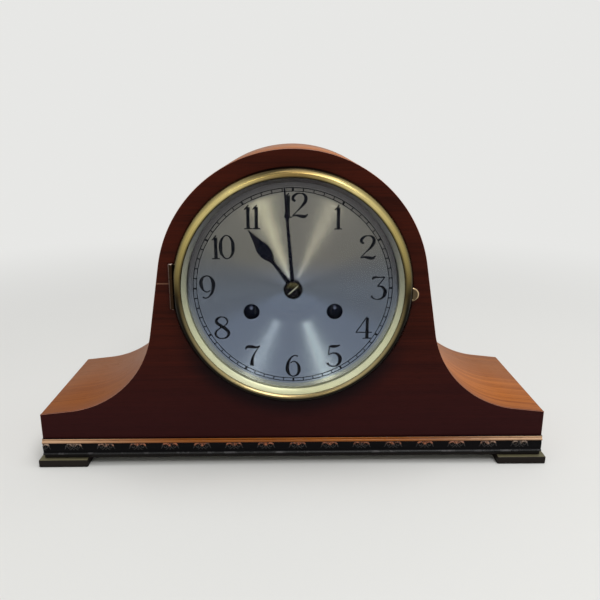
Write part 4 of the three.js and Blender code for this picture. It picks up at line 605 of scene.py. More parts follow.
def clear_glass():
    """Thin window glass: it mirrors at a slant and lets the rest through."""
    finish = Finish("window_glass")
    smear = finish.noise(30, 4, 0.6)
    values = {"Color": (1, 1, 1, 1), "Roughness": 0.03 + smear * 0.04}
    gloss = finish.node("BsdfGlossy", {}, values)
    through = finish.node("BsdfTransparent", {}, {"Color": (0.97, 0.98, 0.975, 1)})
    finish.blend(finish.node("Fresnel", {}, {"IOR": 1.1}), through, gloss)
    finish.tree.nodes.remove(finish.shader)
    return finish


def carved_finish():
    """The moulding's ground, stained near black."""
    finish = Finish("carved_ground", specular=0.06)
    grain = finish.noise((60, 60, 900), 3, 0.6)
    wear = finish.noise(260, 3, 0.6)
    return finish.surface(
        finish.mix(grain, (4, 4, 6), (12, 9, 11)), 0.3 + wear * 0.2, wear * 0.6 + grain * 0.4,
        depth=0.1,
    )


def leaf_finish():
    """Carved leaves: dark in the hollows, their upper edges lighter, partly worn and partly a
    painted highlight, copper brown in the middle of the clock and pale brown near its ends."""
    finish = Finish("carved_leaf", specular=0.45)
    x, _, z = finish.split()
    wear = finish.noise(420, 3, 0.6)
    # Partly wear, partly painted highlight: the upper edges of the leaves, where light from above
    # catches them, get the lighter colour.
    high = (z / MM + (wear - 0.5) * 2.0).between(17.0, 18.8)
    ends = (x * x).between(0.10**2, 0.19**2)
    worn = finish.mix(ends, (168, 100, 66), (176, 152, 134))
    return finish.surface(
        finish.mix(high * wear.between(0.36, 0.6), (20, 13, 12), worn), 0.2 + wear * 0.2, wear,
        depth=0.1, strength=0.5,
    )


def round_finish():
    """The round along the top: orange brown, with a painted highlight toward both ends and painted
    shade along its lower edge.
    """

    def painted_light(finish, colour):
        x, _, z = finish.split()
        # Painted highlight: the round is paler toward both ends.
        ends = (x * x).between(0.07**2, 0.2**2)
        pale = finish.mix(ends * 0.85, colour, (208, 172, 138))
        # Painted shade: the lower part is darker, where it faces down.
        height = z / MM - MOULDING_LOW
        return finish.mix(height.between(11.3, 10.3) * 0.92, pale, (58, 20, 12))

    return wood("moulding_round", (112, 58, 14), (160, 92, 28), "XY", 0.22, 0.2, 0.4, painted_light)


def bead_finish():
    """The bead along the foot of the moulding: black, with pale patches here and there as a painted
    broken highlight.
    """
    finish = Finish("moulding_bead", specular=0.3)
    # Painted highlight: pale patches in a broken line along the bead.
    painted_highlight = finish.noise(70, 3, 0.7).between(0.5, 0.68)
    return finish.surface(
        finish.mix(painted_highlight * 0.7, (12, 12, 14), (88, 86, 88)), 0.25 + painted_highlight * 0.15, painted_highlight,
        depth=0.05,
    )


def nut_steel():
    """Near-black steel, with a painted olive reflection of what is above and a painted highlight
    along one line.
    """
    finish = Finish("hand_nut_steel", metallic=1.0)
    up, across, radius = round_the_dial(finish)
    specks = finish.noise(700, 3, 0.6)
    # Painted reflection: olive on the upper part.
    painted_olive_reflection = (up + (specks - 0.5) * 3).between(0.2, 4.5) * radius.between(6.4, 4.6)
    tone = finish.mix(painted_olive_reflection * 0.6, (18, 17, 22), (98, 90, 60))
    # Painted highlight: a bright streak along one slanted line.
    aside = (up * 0.74 - across * 0.67) ** 2 + (radius / 5.0) ** 8 * 0.1
    return finish.surface(
        finish.mix(aside.between(0.12, 0.01) * 0.85, tone, (226, 222, 204)), 0.16 + specks * 0.1,
        specks, depth=0.02,
    )


def winding_steel():
    """Steel near black and blue, as painted shade in the dark of the winding holes, with a painted
    highlight at one corner of its end.
    """
    glint_x, glint_z = WINDING_X + 0.3, WINDING_Z + 2.2
    finish = Finish("winding_steel", metallic=1.0)
    up, across, _ = round_the_dial(finish)
    y = finish.split()[1]
    specks = finish.noise(800, 3, 0.6)
    aside = (across * across) ** 0.5 - glint_x
    # Painted highlight: a bright spot at the upper corner of the arbor's end.
    corner = ((up - glint_z) ** 2 + aside * aside).between(1.6, 0.4) * y.between(-0.04, -0.05)
    # Painted shade: near-black blue for the dark inside the holes.
    hole_shade_blue = finish.mix(specks, (8, 10, 18), (15, 19, 34))
    return finish.surface(
        finish.mix(corner * 0.9, hole_shade_blue, (140, 148, 178)), 0.3 + specks * 0.15, specks, depth=0.03
    )


def aged_brass():
    """Brass gone brown, with a painted highlight down the left side of the hinge."""
    finish = Finish("aged_brass", metallic=1.0)
    _, across, _ = round_the_dial(finish)
    clouds = finish.noise(60, 4, 0.6)
    # Painted highlight: a pale line down the hinge's left side.
    painted_highlight = (across + (clouds - 0.5) * 0.4).between(-91.1, -91.7)
    brown = finish.mix(clouds, (62, 44, 28), (28, 18, 12))
    return finish.surface(
        finish.mix(painted_highlight * 0.85, brown, (136, 112, 102)), 0.22 + clouds * 0.2, clouds, depth=0.03
    )


def thumb_brass():
    """A dished brass button, dark in the dish, with a painted highlight along its rim, strongest at
    the upper right.
    """
    finish = Finish("thumb_brass", metallic=1.0)
    up, across, _ = round_the_dial(finish)
    reach = ((up - THUMB_Z) ** 2 + (across - THUMB_X) ** 2) ** 0.5
    rubs = finish.noise(900, 2, 0.5)
    # Painted highlight: the rim is paler, most where it faces up and to the right.
    lit = (up - THUMB_Z + across - THUMB_X).between(-2, 4)
    bright = reach.between(4.0, 4.8) * (lit * 0.8 + 0.2)
    return finish.surface(
        finish.mix(bright, (84, 72, 54), (206, 180, 142)), 0.24 + (rubs - 0.5) * 0.1, rubs,
        depth=0.03,
    )


BEZEL_BRASS = bezel_brass()
SIGHT_BRASS = sight_brass()
SILVERED = silvered_dial()
INK = printed_ink()
GLASS = clear_glass()
CARVED = carved_finish()
LEAF = leaf_finish()
ROUND_WOOD = round_finish()
BEAD = bead_finish()
THUMB_BRASS = thumb_brass()
AGED_BRASS = aged_brass()
NUT_STEEL = nut_steel()
DARK_STEEL = winding_steel()


# -------------------- case


def right_edge(inset, end_x, bm=None):
    """The case's right side, from the crown down the flank and the hollow sweep to end_x."""
    pen = Outline(0, ARCH_Z + ARCH_RADIUS - inset, bm)
    reach = SWEEP_RADIUS + inset
    pen.turn(0, ARCH_Z, FLANK_LEAN - QUARTER, 48)
    pen.to(SWEEP_X - reach * math.cos(FLANK_LEAN), SWEEP_Z - reach * math.sin(FLANK_LEAN))
    pen.turn(SWEEP_X, SWEEP_Z, QUARTER - FLANK_LEAN - SHOULDER_SLOPE, 36)
    x, _, z = pen.tip.co
    return pen.to(end_x, z - (end_x - x) * math.tan(SHOULDER_SLOPE))


def panel_outline(inset, end_x):
    """Right half of a panel that stands on the base, from its crown to the middle of its foot."""
    return right_edge(inset, end_x).to(end_x, BASE_HIGH).to(0, BASE_HIGH).bm


def pierced_panel(inset, end_x, depth):
    bm = panel_outline(inset, end_x)
    mirror_x(bm)
    ring(DIAL_HOLE, RING_STEPS, z=DIAL_HEIGHT, bm=bm)
    thicken(bm, depth)
    return bm


def front_panel():
    """A veneer with a worn edge, on a core that ends inside the skin."""
    bm = pierced_panel(0, HALF_WIDTH, VENEER)
    soften(bm, 0.45, 3, at_depth(0))
    for face in bm.faces:
        middle = face.calc_center_median()
        outer = math.hypot(middle.x, middle.z - ARCH_Z) > WORN_RADIUS
        face.material_index = 1 if outer and -0.95 < face.normal.y < -0.2 else 0
    core = pierced_panel(SKIN, HALF_WIDTH - END_DEPTH, PANEL_DEPTH - VENEER)
    merged(bm, core, moved(y=VENEER))
    finish_piece("front_panel_veneered", bm, [FACE_WOOD, WORN_EDGE], ["front_panel"])


def top_skin():
    bm = bmesh.new()
    bm.edges.new([right_edge(inset, HALF_WIDTH, bm).tip for inset in (0, SKIN)])
    mirror_x(bm)
    thicken(bm, CASE_DEPTH - VENEER)
    soften(bm, 0.5, 2)
    place = CASE @ moved(y=VENEER)
    finish_piece("top_skin_bent", bm, [SKIN_WOOD], ["top_skin"], place=place)


def base_and_feet():
    bm = block(-HALF_WIDTH, 0, BASE_LOW, HALF_WIDTH, CASE_DEPTH, BASE_HIGH)
    soften(bm, 0.6, 2)
    finish_piece(
        "base_board_edged", bm, [STAINED_WOOD], ["base_board"], flats="XYZ"
    )
    rise = lambda edge: abs(edge.verts[0].co.z - edge.verts[1].co.z)
    for node in ("foot_front_left", "foot_front_right", "foot_back_left", "foot_back_right"):
        low, high = solid_box(node)
        bm = block(*low, *high)
        soften(bm, 1.2, 3, lambda edge: rise(edge) > 1)
        soften(bm, 0.9, 3, lambda edge: rise(edge) < 1e-3)
        # The top faces get the paler, painted-light copy of the foot wood.
        for face in bm.faces:
            face.material_index = 1 if face.normal.z > 0.9 else 0
        finish_piece(
            node + "_rounded", bm, [FOOT_WOOD, FOOT_TOP_PAINTED_LIGHT], [node],
            place=Matrix.Scale(MM, 4), flats="XYZ",
        )


front_panel()
top_skin()
base_and_feet()


# -------------------- carved moulding

FIELD_DEPTH = 1.7
BEAD_FOOT, BEAD_TOP, ROUND_FOOT = 0.3, 2.2, 9.85
MOTIF_PITCH, MOTIF_FIRST, MOTIF_HEIGHT, MOTIF_REACH = 25.55, -201.0, 6.6, 10
MOTIF_SCALE = (0.82, 0.9, 0.8)
LEAVES = [
    [
        (1.9, 2.0, 0.4), (3.3, 3.3, 0.72), (5.2, 3.4, 0.85), (6.8, 2.2, 0.8), (7.6, 0.3, 0.55),
        (8.3, -1.4, 0.45), (8.9, -1.9, 0.3),
    ],
    [(5.9, 1.2, 0.3), (5.4, -0.4, 0.5), (4.1, -0.8, 0.5), (3.3, 0.2, 0.42), (3.9, 1.3, 0.32)],
    [(1.2, -0.9, 0.4), (2.4, -1.5, 0.5), (3.4, -2.6, 0.4), (4.4, -2.7, 0.25)],
    [(0.7, 2.2, 0.3), (1.5, 3.4, 0.4), (2.4, 4.4, 0.3)],
]
BUDS = [
    (0, 1.2, 1.5), (0, 3.5, 0.9), (-1.1, -0.6, 0.8), (1.1, -0.6, 0.8), (0, -2.2, 0.75),
    (-1.7, 1.2, 0.6), (1.7, 1.2, 0.6),
]


def moulding_section():
    """Bead, carved ground, round and fillet, with X as how far each stands out."""
    pen = Outline(0, 0).to(1.8, 0).to(1.8, 0.4)
    pen.turn(1.8, 1.2, math.pi, 8)
    pen.to(1.45, 2.4).to(1.7, 4).to(1.78, 6).to(1.7, 8).to(1.45, 9.3).to(1.07, 9.8)
    pen.turn(1.3, 11.1, math.radians(200), 14)
    pen.to(1.1, 12.75).to(1.7, 12.8).to(1.8, 12.95).to(1.8, 13.7).to(1.7, 13.8).to(0, 13.8)
    return pen.close().bm


def motif():
    """Curled leaves on each side of a bud, drawn about its middle, standing out along -Y."""
    bm = bmesh.new()
    for leaf in LEAVES:
        for side in (1, -1):
            merged(bm, stroke([(x * side, z, half) for x, z, half in leaf], sides=1))
    for x, z, radius in BUDS:
        bud = bmesh.new()
        bmesh.ops.create_uvsphere(bud, u_segments=12, v_segments=8, radius=radius)
        merged(bm, bud, moved(x, 0, z))
    bmesh.ops.scale(bm, vec=MOTIF_SCALE, verts=bm.verts)
    return bm


def slice_off(bm, x, keep_above):
    """Cuts a mesh square across at x, closes the cut and keeps one side."""
    bmesh.ops.bisect_plane(
        bm, geom=everything(bm), dist=1e-5, plane_co=(x, 0, 0), plane_no=(1, 0, 0),
        clear_inner=keep_above, clear_outer=not keep_above,
    )
    rims = [edge for edge in bm.edges if edge.is_boundary]
    if rims:
        bmesh.ops.holes_fill(bm, edges=rims)
        face_out(bm)


def front_moulding():
    """A strip across the front with its carving, running along +X and standing out along -Y."""
    finishes = [CARVED, ROUND_WOOD, LEAF, BEAD]
    bm = moulding_section()
    thicken(bm, 2 * HALF_WIDTH)
    turn = moved(-HALF_WIDTH) @ Matrix.Rotation(-QUARTER, 4, "Z")
    bmesh.ops.transform(bm, matrix=turn, verts=bm.verts)
    for face in bm.faces:
        height = face.calc_center_median().z
        long_side = abs(face.normal.x) < 0.5
        if long_side and ROUND_FOOT < height < MOULDING_HEIGHT - 0.02:
            face.material_index = finishes.index(ROUND_WOOD)
        elif long_side and BEAD_FOOT < height < BEAD_TOP:
            face.material_index = finishes.index(BEAD)
    carving = motif()
    for face in carving.faces:
        face.material_index = finishes.index(LEAF)
    for step in range(int(2 * HALF_WIDTH / MOTIF_PITCH) + 2):
        x = MOTIF_FIRST + MOTIF_PITCH * step
        copy = carving.copy()
        bmesh.ops.translate(copy, vec=(x, 0.1 - FIELD_DEPTH, MOTIF_HEIGHT), verts=copy.verts)
        if x < MOTIF_REACH - HALF_WIDTH:
            slice_off(copy, -HALF_WIDTH, True)
        if x > HALF_WIDTH - MOTIF_REACH:
            slice_off(copy, HALF_WIDTH, False)
        merged(bm, copy)
    carving.free()
    place = CASE @ moved(z=MOULDING_LOW)
    finish_piece(
        "front_moulding_carved", bm, finishes, ["front_moulding"], place=place
    )


front_moulding()


# -------------------- dial

DIAL_FACE = 3.0
DIAL_RADIUS, CENTRE_HOLE, WINDING_HOLE = 82.3, 4.2, 6.1
PAN = [
    (82.9, -0.8), (87.5, -0.8), (87.5, 0), (83.7, 0), (83.7, 4.8), (74, 4.8), (74, 4), (82.9, 4),
]
PRINT = 0.05
TRACK_OUTER, TRACK_INNER, TRACK_LINE = 75.1, 72.6, 0.55
HOUR_TICK, MINUTE_TICK = 0.75, 0.38
NUMERAL_HEIGHT = 17.8

# Ink makes every stroke heavier, and none is drawn finer than this part of a figure's height.
INK_WEIGHT = 1.36
FINEST = 0.018

# How much broader than drawn each figure is printed.
BREADTH = {"1": 1.0, "0": 1.2, "6": 1.2, "9": 1.2}
BROAD = 1.26

# The figures whose one stroke runs back into itself.
CLOSED = "08"

# Strokes of each figure as (x, z, half width), in thousandths of its height.
FIGURES = {
    "1": [
        [(20, 30, 52), (20, 500, 50), (25, 900, 56)],
        [(-130, 790, 12), (-50, 870, 22), (50, 990, 20)],
        [(-140, 14, 14), (180, 14, 14)],
    ],
    "2": [
        [
            (-130, 660, 30), (-210, 760, 45), (-150, 910, 38), (20, 985, 18), (170, 910, 40),
            (210, 740, 52), (120, 520, 40), (-60, 280, 18), (-220, 70, 16),
        ],
        [(-230, 55, 16), (-100, 85, 30), (80, 45, 50), (200, 50, 40), (270, 140, 12)],
    ],
    "3": [
        [(-210, 860, 16), (-180, 940, 40), (20, 965, 18), (200, 970, 14)],
        [(200, 970, 14), (90, 780, 14), (-40, 580, 14)],
        [
            (-50, 575, 14), (90, 560, 30), (200, 440, 52), (220, 260, 58), (130, 60, 32),
            (-20, 0, 16), (-170, 50, 20), (-240, 150, 34),
        ],
    ],
    "4": [
        [(100, 30, 52), (100, 500, 50), (100, 940, 50)],
        [(90, 990, 16), (-90, 640, 14), (-270, 300, 16)],
        [(-290, 285, 18), (270, 285, 18)],
        [(-50, 14, 14), (250, 14, 14)],
    ],
    "5": [
        [(-140, 930, 30), (-20, 925, 48), (120, 945, 36), (210, 990, 12)],
        [(-160, 950, 16), (-180, 540, 16)],
        [
            (-180, 540, 14), (-20, 620, 22), (150, 540, 46), (220, 320, 60), (140, 70, 36),
            (-20, 0, 16), (-160, 60, 24), (-220, 160, 42),
        ],
    ],
    "6": [
        [
            (170, 930, 26), (40, 960, 20), (-120, 800, 34), (-210, 500, 54), (-200, 220, 54),
            (-80, 20, 24), (60, 10, 22), (190, 160, 46), (205, 400, 52), (130, 620, 28),
            (10, 690, 14), (-110, 620, 14),
        ],
    ],
    "7": [
        [(-240, 800, 14), (-200, 910, 40), (-40, 925, 52), (120, 900, 36), (250, 970, 14)],
        [(240, 960, 14), (100, 700, 20), (-10, 400, 42), (-40, 50, 62)],
    ],
    "8": [
        [
            (20, 985, 18), (-130, 920, 38), (-185, 770, 46), (-60, 610, 50), (130, 440, 54),
            (225, 260, 50), (160, 80, 34), (0, 12, 18), (-170, 80, 30), (-225, 240, 36),
            (-120, 430, 22), (60, 560, 14), (190, 740, 24), (160, 900, 28),
        ],
    ],
    "0": [
        [
            (0, 985, 16), (-140, 880, 32), (-215, 500, 56), (-140, 120, 32), (0, 15, 16),
            (140, 120, 32), (215, 500, 56), (140, 880, 32),
        ],
    ],
}
FIGURES["9"] = [[(-x, 1000 - z, half) for x, z, half in FIGURES["6"][0]]]

# Middle of each numeral from the dial's centre, and its figures with their shifts.
NUMERALS = [
    (1.4, 62.4, [("1", -0.29), ("2", 0.19)]),
    (33.0, 53.6, [("1", 0)]),
    (55.4, 31.2, [("2", 0)]),
    (64.6, 0.0, [("3", 0)]),
    (54.6, -31.4, [("4", 0)]),
    (31.5, -54.2, [("5", 0)]),
    (0.0, -62.2, [("6", 0)]),
    (-31.4, -54.2, [("7", 0)]),
    (-54.6, -31.0, [("8", 0)]),
    (-64.6, 0.8, [("9", 0)]),
    (-52.0, 31.6, [("1", -0.31), ("0", 0.17)]),
    (-30.2, 54.0, [("1", -0.17), ("1", 0.17)]),
]


def numerals(bm):
    size = NUMERAL_HEIGHT
    for x, z, figures in NUMERALS:
        for figure, shift in figures:
            broad = BREADTH.get(figure, BROAD)
            for points in FIGURES[figure]:
                placed = [
                    (
                        x + (across / 1000 * broad + shift) * size,
                        z + (up / 1000 - 0.5) * size,
                        INK_WEIGHT * max(half / 1000, FINEST) * size,
                    )
                    for across, up, half in points
                ]
                merged(bm, stroke(placed, 2 * PRINT, figure in CLOSED))


def minute_track(bm):
    for radius in (TRACK_OUTER, TRACK_INNER):
        inner, outer = radius - TRACK_LINE / 2, radius + TRACK_LINE / 2
        turned([(inner, -PRINT), (outer, -PRINT), (outer, PRINT), (inner, PRINT)], bm=bm)
    middle = (TRACK_OUTER + TRACK_INNER) / 2
    reach = (TRACK_OUTER - TRACK_INNER) / 2
    for minute in range(60):
        half = HOUR_TICK if minute % 5 == 0 else MINUTE_TICK
        tick = block(-half, -PRINT, -reach, half, PRINT, reach)
        turn = Matrix.Rotation(math.radians(6 * minute), 4, "Y")
        merged(bm, tick, turn @ moved(z=middle))


def dial():
    bm = ring(DIAL_RADIUS, RING_STEPS, y=DIAL_FACE)
    ring(CENTRE_HOLE, SMALL_STEPS, y=DIAL_FACE, bm=bm)
    for side in (1, -1):
        ring(WINDING_HOLE, 2 * SMALL_STEPS, WINDING_X * side, WINDING_Z, DIAL_FACE, bm)
    thicken(bm, 1)
    soften(bm, 0.15, 2, at_depth(DIAL_FACE))
    finish_piece("dial_silvered", bm, [SILVERED], ["dial"], place=DIAL)
    bm = bmesh.new()
    numerals(bm)
    minute_track(bm)
    place = DIAL @ moved(y=DIAL_FACE)
    finish_piece("dial_print", bm, [INK], [], place=place)
    finish_piece("dial_pan_spun", turned(PAN), [BRASS], ["dial_pan"], place=DIAL)


dial()


# -------------------- bezel, glass and sight ring

BEZEL = [
    (90.5, -0.3), (90.5, -1.8), (90.0, -3.8), (89.2, -5.6), (88.2, -7.1), (87.2, -8.2),
    (86.2, -8.8), (85.2, -8.9), (84.2, -8.6), (83.3, -7.9), (82.7, -7.2), (82.7, -6.6),
    (84.6, -6.6), (84.6, -1.2), (88.3, -1.2), (88.3, -0.3),
]
SIGHT = [
    (83.7, -4.2), (84.3, -4.2), (84.3, -3.6), (80.2, -1.3), (80.2, 2.4), (79.6, 2.4), (79.6, -1.9),
]
HINGE_X, HINGE_Y, HINGE_Z = -90, -3.2, 3
HINGE_RADIUS, HINGE_HALF, KNUCKLE_HALF, KNUCKLE_GAP = 2.1, 17, 5.7, 0.3
NOTCH_X, NOTCH_GAP = -87.4, 0.5
GLASS_RADIUS, GLASS_EDGE, GLASS_APEX, GLASS_DEPTH, GLASS_STEPS = 84.3, -6.3, -11.3, 1.8, 24
THUMB = [
    (0, -4.9), (3.6, -5.0), (4.3, -5.5), (4.9, -5.5), (5.3, -5.0), (5.3, -3.4), (4.9, -2.9),
    (0, -2.9),
]


def knuckle(low, high, radius=HINGE_RADIUS):
    """A rolled sleeve on the hinge pin, its ends rounded, standing along Z."""
    profile = [(0, low), (radius, low), (radius, high), (0, high)]
    bm = turned(profile, SMALL_STEPS, 0.25, closed=False)
    place = moved(HINGE_X, HINGE_Y) @ Matrix.Rotation(QUARTER, 4, "X")
    bmesh.ops.transform(bm, matrix=place, verts=bm.verts)
    return bm


def cut_away(piece, tool):
    """Takes a tool's shape out of a piece."""
    target, cutter = into_scene("target", piece), into_scene("cutter", tool)
    cut = target.modifiers.new("cut", "BOOLEAN")
    cut.operation, cut.solver, cut.object = "DIFFERENCE", "EXACT", cutter
    bm = bmesh.new()
    bm.from_object(target, bpy.context.evaluated_depsgraph_get())
    for spent in (target, cutter):
        mesh = spent.data
        bpy.data.objects.remove(spent)
        bpy.data.meshes.remove(mesh)
    return bm


def bezel():
    """The bezel ring with the middle knuckle of its hinge in a notch, and the sight ring."""
    reach = HINGE_HALF + NOTCH_GAP
    notch = block(-95, -12, HINGE_Z - reach, NOTCH_X, 1, HINGE_Z + reach)
    bm = cut_away(turned(BEZEL, 2 * RING_STEPS, 0.35), notch)
    turned_faces = len(bm.faces)
    low, high = HINGE_Z - KNUCKLE_HALF, HINGE_Z + KNUCKLE_HALF
    merged(bm, knuckle(low, high))
    merged(bm, block(HINGE_X, HINGE_Y - 1, low, NOTCH_X + 1, HINGE_Y + 1, high))
    for face in list(bm.faces)[turned_faces:]:
        face.material_index = 1
    finishes = [BEZEL_BRASS, AGED_BRASS]
    finish_piece("bezel_ring_turned", bm, finishes, ["bezel_ring"], "bezel_door", DIAL)
    bm = turned(SIGHT, 2 * RING_STEPS, 0.12)
    finish_piece(
        "sight_ring_turned", bm, [SIGHT_BRASS], ["sight_ring"], "bezel_door", DIAL
    )


def glass():
    """A domed sheet between two balls of one radius."""
    rise = GLASS_EDGE - GLASS_APEX
    ball = (GLASS_RADIUS**2 + rise**2) / (2 * rise)
    sweep = math.asin(GLASS_RADIUS / ball)
    turns = [sweep * step / GLASS_STEPS for step in range(GLASS_STEPS + 1)]
    front = [(ball * math.sin(turn), GLASS_APEX + ball * (1 - math.cos(turn))) for turn in turns]
    back = [(radius, y + GLASS_DEPTH) for radius, y in reversed(front)]
    bm = turned(front + back, RING_STEPS, closed=False)
    finish_piece("bezel_glass_domed", bm, [GLASS], ["bezel_glass"], "bezel_door", DIAL)


def thumb_piece():
    bm = turned(THUMB, 2 * SMALL_STEPS, 0.15, closed=False)
    bmesh.ops.translate(bm, vec=(THUMB_X, 0, THUMB_Z), verts=bm.verts)
    nodes = ["bezel_thumb_piece"]
    finish_piece("thumb_piece_turned", bm, [THUMB_BRASS], nodes, "bezel_door", DIAL)


def bezel_hinge():
    """The case's leaf with its two outer knuckles, and the headed pin through all three."""
    low, high = HINGE_Z - HINGE_HALF, HINGE_Z + HINGE_HALF
    bm = knuckle(low, HINGE_Z - KNUCKLE_HALF - KNUCKLE_GAP)
    merged(bm, knuckle(HINGE_Z + KNUCKLE_HALF + KNUCKLE_GAP, high))
    leaf_side = solid_box("bezel_hinge_leaf")[0].x
    leaf = block(leaf_side, -0.8, low, NOTCH_X - 0.9, 0, high)
    soften(leaf, 0.2, 2)
    merged(bm, leaf)
    finish_piece("bezel_hinge_rolled", bm, [AGED_BRASS], ["bezel_hinge_leaf"], place=DIAL)
    low, high = (corner.z - DIAL_HEIGHT for corner in solid_box("bezel_hinge_pin"))
    bm = knuckle(low, high, 0.8)
    merged(bm, knuckle(high - 0.5, high, 1.7))
    finish_piece(
        "bezel_hinge_pin_headed", bm, [PIN_STEEL], ["bezel_hinge_pin"], place=DIAL
    )


bezel()
glass()
thumb_piece()
bezel_hinge()


# -------------------- hands

# Each hand's outline, as (reach from the centre, half width).
MINUTE_STATIONS = [
    (5, 1.45), (20, 1.33), (36, 1.15), (51, 0.95), (53.6, 1.35), (55.1, 2.0), (56.8, 1.35),
    (58.9, 0.9), (66, 0.72), (74.5, 0.5), (76.5, 0.12),
]
HOUR_STATIONS = [
    (6.6, 1.5), (16, 1.2), (24, 1.0), (26.8, 1.5), (28.9, 2.6), (31.0, 3.8), (33.4, 4.5),
    (36.7, 4.8), (39.2, 4.5), (41.1, 3.9), (44.2, 2.8), (47.8, 1.8), (51.6, 0.9), (55.6, 0.12),
]
NUT = [
    (0, -3.6), (1.7, -3.55), (3.4, -3.38), (4.7, -3.12), (5.8, -2.8), (6.7, -2.35), (7.15, -2.0),
    (7.15, -1.65), (0, -1.65),
]
HAND_THICKNESS = 0.8


def hand(node, stations, boss, hole, front, degrees, body):
    """A flat hand with its edges eased, from its boss to its point, laid at its angle."""
    start = math.acos(stations[0][1] / boss)
    pen = Outline(0, -boss)
    pen.turn(0, 0, QUARTER + start, 20)
    for reach, half in stations:
        pen.to(half, reach)
    pen.to(0, stations[-1][0] + 0.2)
    bm = pen.bm
    mirror_x(bm)
    ring(hole, SMALL_STEPS, bm=bm)
    thicken(bm, HAND_THICKNESS)
    soften(bm, 0.22, 2, at_depth(0))
    turn = Matrix.Rotation(math.radians(degrees), 4, "Y")
    place = DIAL @ moved(y=front) @ turn
    finish_piece(node + "_blued", bm, [BLUED_STEEL], [node], body, place)


hand("minute_hand", MINUTE_STATIONS, 5, hole=2.7, front=-1.3, degrees=-4.6, body="minute_group")
hand("hour_hand", HOUR_STATIONS, 6.6, hole=3.85, front=0.35, degrees=-36.5, body="hour_group")
nut = turned(NUT, 2 * SMALL_STEPS, 0.1, closed=False)
finish_piece("hand_nut_domed", nut, [NUT_STEEL], ["hand_nut"], "minute_group", DIAL)


# -------------------- back

DOOR_HALF, DOOR_SILL, DOOR_DEPTH = 72, 58, 5
DOOR_GAP, STOP_WIDTH, STOP_DEPTH = 0.6, 5, 2.4
BACK_DEPTH, BACK_GAP = 5.6, 0.3


def door_outline(inset, bm=None):
    """Half of the arched door, from its crown to the middle of its sill."""
    half = DOOR_HALF - inset
    pen = Outline(0, ARCH_Z + half, bm)
    pen.turn(0, ARCH_Z, -QUARTER, 32)
    pen.to(half, DOOR_SILL + inset).to(0, DOOR_SILL + inset)
    return pen.bm


def back_board(opening_inset, depth):
    bm = panel_outline(SKIN + BACK_GAP, HALF_WIDTH - END_DEPTH - BACK_GAP)
    door_outline(opening_inset, bm)
    mirror_x(bm)
    thicken(bm, depth)
    return bm


def back():
    """The door, and the panel round it with a narrower opening in front as the door's stop."""
    bm = door_outline(DOOR_GAP)
    mirror_x(bm)
    thicken(bm, DOOR_DEPTH)
    soften(bm, 0.6, 2)
    place = CASE @ moved(y=BACK_FACE - DOOR_DEPTH)
    finish_piece("back_door_board", bm, [BACK_WOOD], ["back_door"], "back_door", place)
    bm = back_board(0, BACK_DEPTH)
    soften(bm, 0.5, 2, at_depth(BACK_DEPTH))
    stop = back_board(STOP_WIDTH, STOP_DEPTH)
    merged(bm, stop, moved(y=-STOP_DEPTH))
    place = CASE @ moved(y=BACK_FACE - BACK_DEPTH)
    finish_piece("back_panel_board", bm, [BACK_WOOD], ["back_panel"], place=place)


back()


# -------------------- finishes on the kept solids

NODE_FINISHES = {
    "left_end right_end": END_WOOD,
    "door_hinge_fixed_leaf door_hinge_moving_leaf door_turn_button pendulum_bob": BRASS,
    "pillar_lower_left pillar_lower_right pillar_upper_left pillar_upper_right": BRASS,
    "suspension_cock": BRASS,
    "movement_front_plate": PLATE_PAINTED_SHADE,
    "movement_back_plate going_barrel strike_barrel intermediate_wheel": MOVEMENT_BRASS,
    "centre_wheel third_wheel escape_wheel cannon_pinion minute_wheel hour_wheel": MOVEMENT_BRASS,
    "pin_wheel gathering_wheel fly": MOVEMENT_BRASS,
    "upper_mounting_bar lower_mounting_bar going_click strike_click": STEEL,
    "anchor pendulum_rod hammer": STEEL,
    "going_winding_arbor strike_winding_arbor gong_coil": DARK_STEEL,
    "gong_standard": IRON,
}
for names, finish in NODE_FINISHES.items():
    for name in names.split():
        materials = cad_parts[name].data.materials
        materials.clear()
        materials.append(finish.material)


# -------------------- stage, light and camera

STUDIO = (0.80, 0.80, 0.785, 1)
CAMERA_PLACE = (-0.0016, -0.51305, 0.2645)
CAMERA_DIP, CAMERA_TURN, LENS = 15.56, 0.85, 37.72
# Where the lamps point: the two wide ones, and the two narrow ones that make the dial's fans.
CLOCK, FANS = (0, 0, 0.12), (0, 0, 0.14)
# How far out the floor starts to fade into the backdrop, and where it is one with it.
FADE_FROM, FADE_TO = 0.34, 1.1


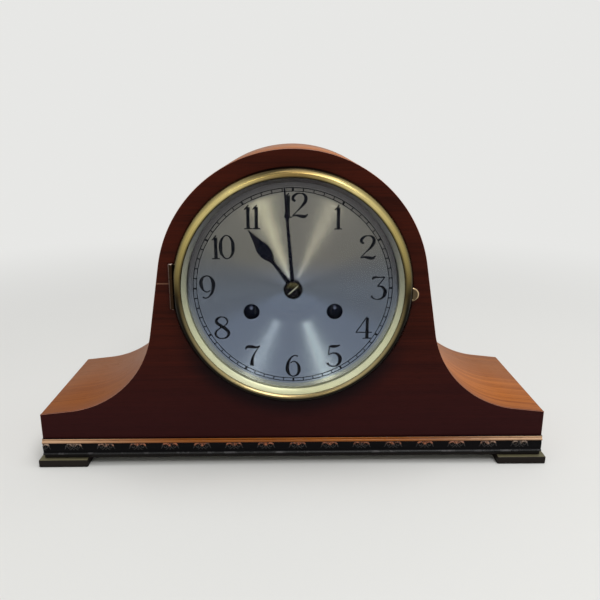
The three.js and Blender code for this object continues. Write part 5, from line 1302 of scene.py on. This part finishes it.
def stage():
    """A plain floor that runs into the backdrop's colour away from the clock."""
    finish = Finish("studio_floor", specular=0.1)
    finish.shader.inputs["Roughness"].default_value = 0.9
    soft = finish.noise(3, 2)
    finish.feed(Base_Color=finish.mix(soft, (226, 226, 224), (230, 230, 228)))
    x, y, _ = finish.split()
    away = ((x * x + y * y) ** 0.5).between(FADE_FROM, FADE_TO)
    glow = finish.node("Emission", {}, {"Color": STUDIO, "Strength": 1.0})
    finish.blend(away * finish.seen_directly(), finish.first_output("Principled BSDF"), glow)
    bm = bmesh.new()
    bmesh.ops.create_circle(bm, cap_ends=True, radius=60, segments=96)
    floor = into_scene("studio_floor", bm)
    floor.data.materials.append(finish.material)


def lamp(name, place, aim, size, power, colour=(1, 1, 1), roll=0):
    data = bpy.data.lights.new(name, "AREA")
    data.shape = "RECTANGLE"
    data.size, data.size_y = size
    data.energy = power
    data.color = colour
    holder = bpy.data.objects.new(name, data)
    holder.location = place
    facing = (Vector(aim) - Vector(place)).to_track_quat("-Z", "Y")
    holder.rotation_euler = (facing @ Quaternion((0, 0, 1), math.radians(roll))).to_euler()
    bpy.context.scene.collection.objects.link(holder)


def studio_air():
    """Soft light all round, and the backdrop's full colour where the camera meets it."""
    world = bpy.data.worlds.new("studio_air")
    bpy.context.scene.world = world
    air = Looks(world)
    dim = air.first_output("Background")
    dim.socket.node.inputs["Color"].default_value = STUDIO
    dim.socket.node.inputs["Strength"].default_value = 0.5
    full = air.node("Background", {}, {"Color": STUDIO, "Strength": 1.0})
    air.blend(air.seen_directly(), dim, full, "World Output")


def camera():
    data = bpy.data.cameras.new("camera")
    data.sensor_width, data.lens = 36, LENS
    holder = bpy.data.objects.new("camera", data)
    holder.location = CAMERA_PLACE
    holder.rotation_euler = (QUARTER - math.radians(CAMERA_DIP), 0, -math.radians(CAMERA_TURN))
    bpy.context.scene.collection.objects.link(holder)
    bpy.context.scene.camera = holder


stage()
studio_air()
lamp("overhead", (0.35, -0.2, 2.4), CLOCK, (1.4, 1.4), power=26)
lamp("front_above", (0.5, -1.2, 1.7), CLOCK, (0.9, 0.7), power=12)
lamp("front_left", (-0.425, -1.884, 0.831), FANS, (0.13, 0.5), 1.0, (1, 0.96, 0.68), roll=20)
lamp("front_right", (0.538, -1.871, 0.785), FANS, (0.09, 0.5), 0.6, (1, 0.96, 0.74), roll=-25)
camera()

bpy.context.scene.view_settings.view_transform = "Standard"
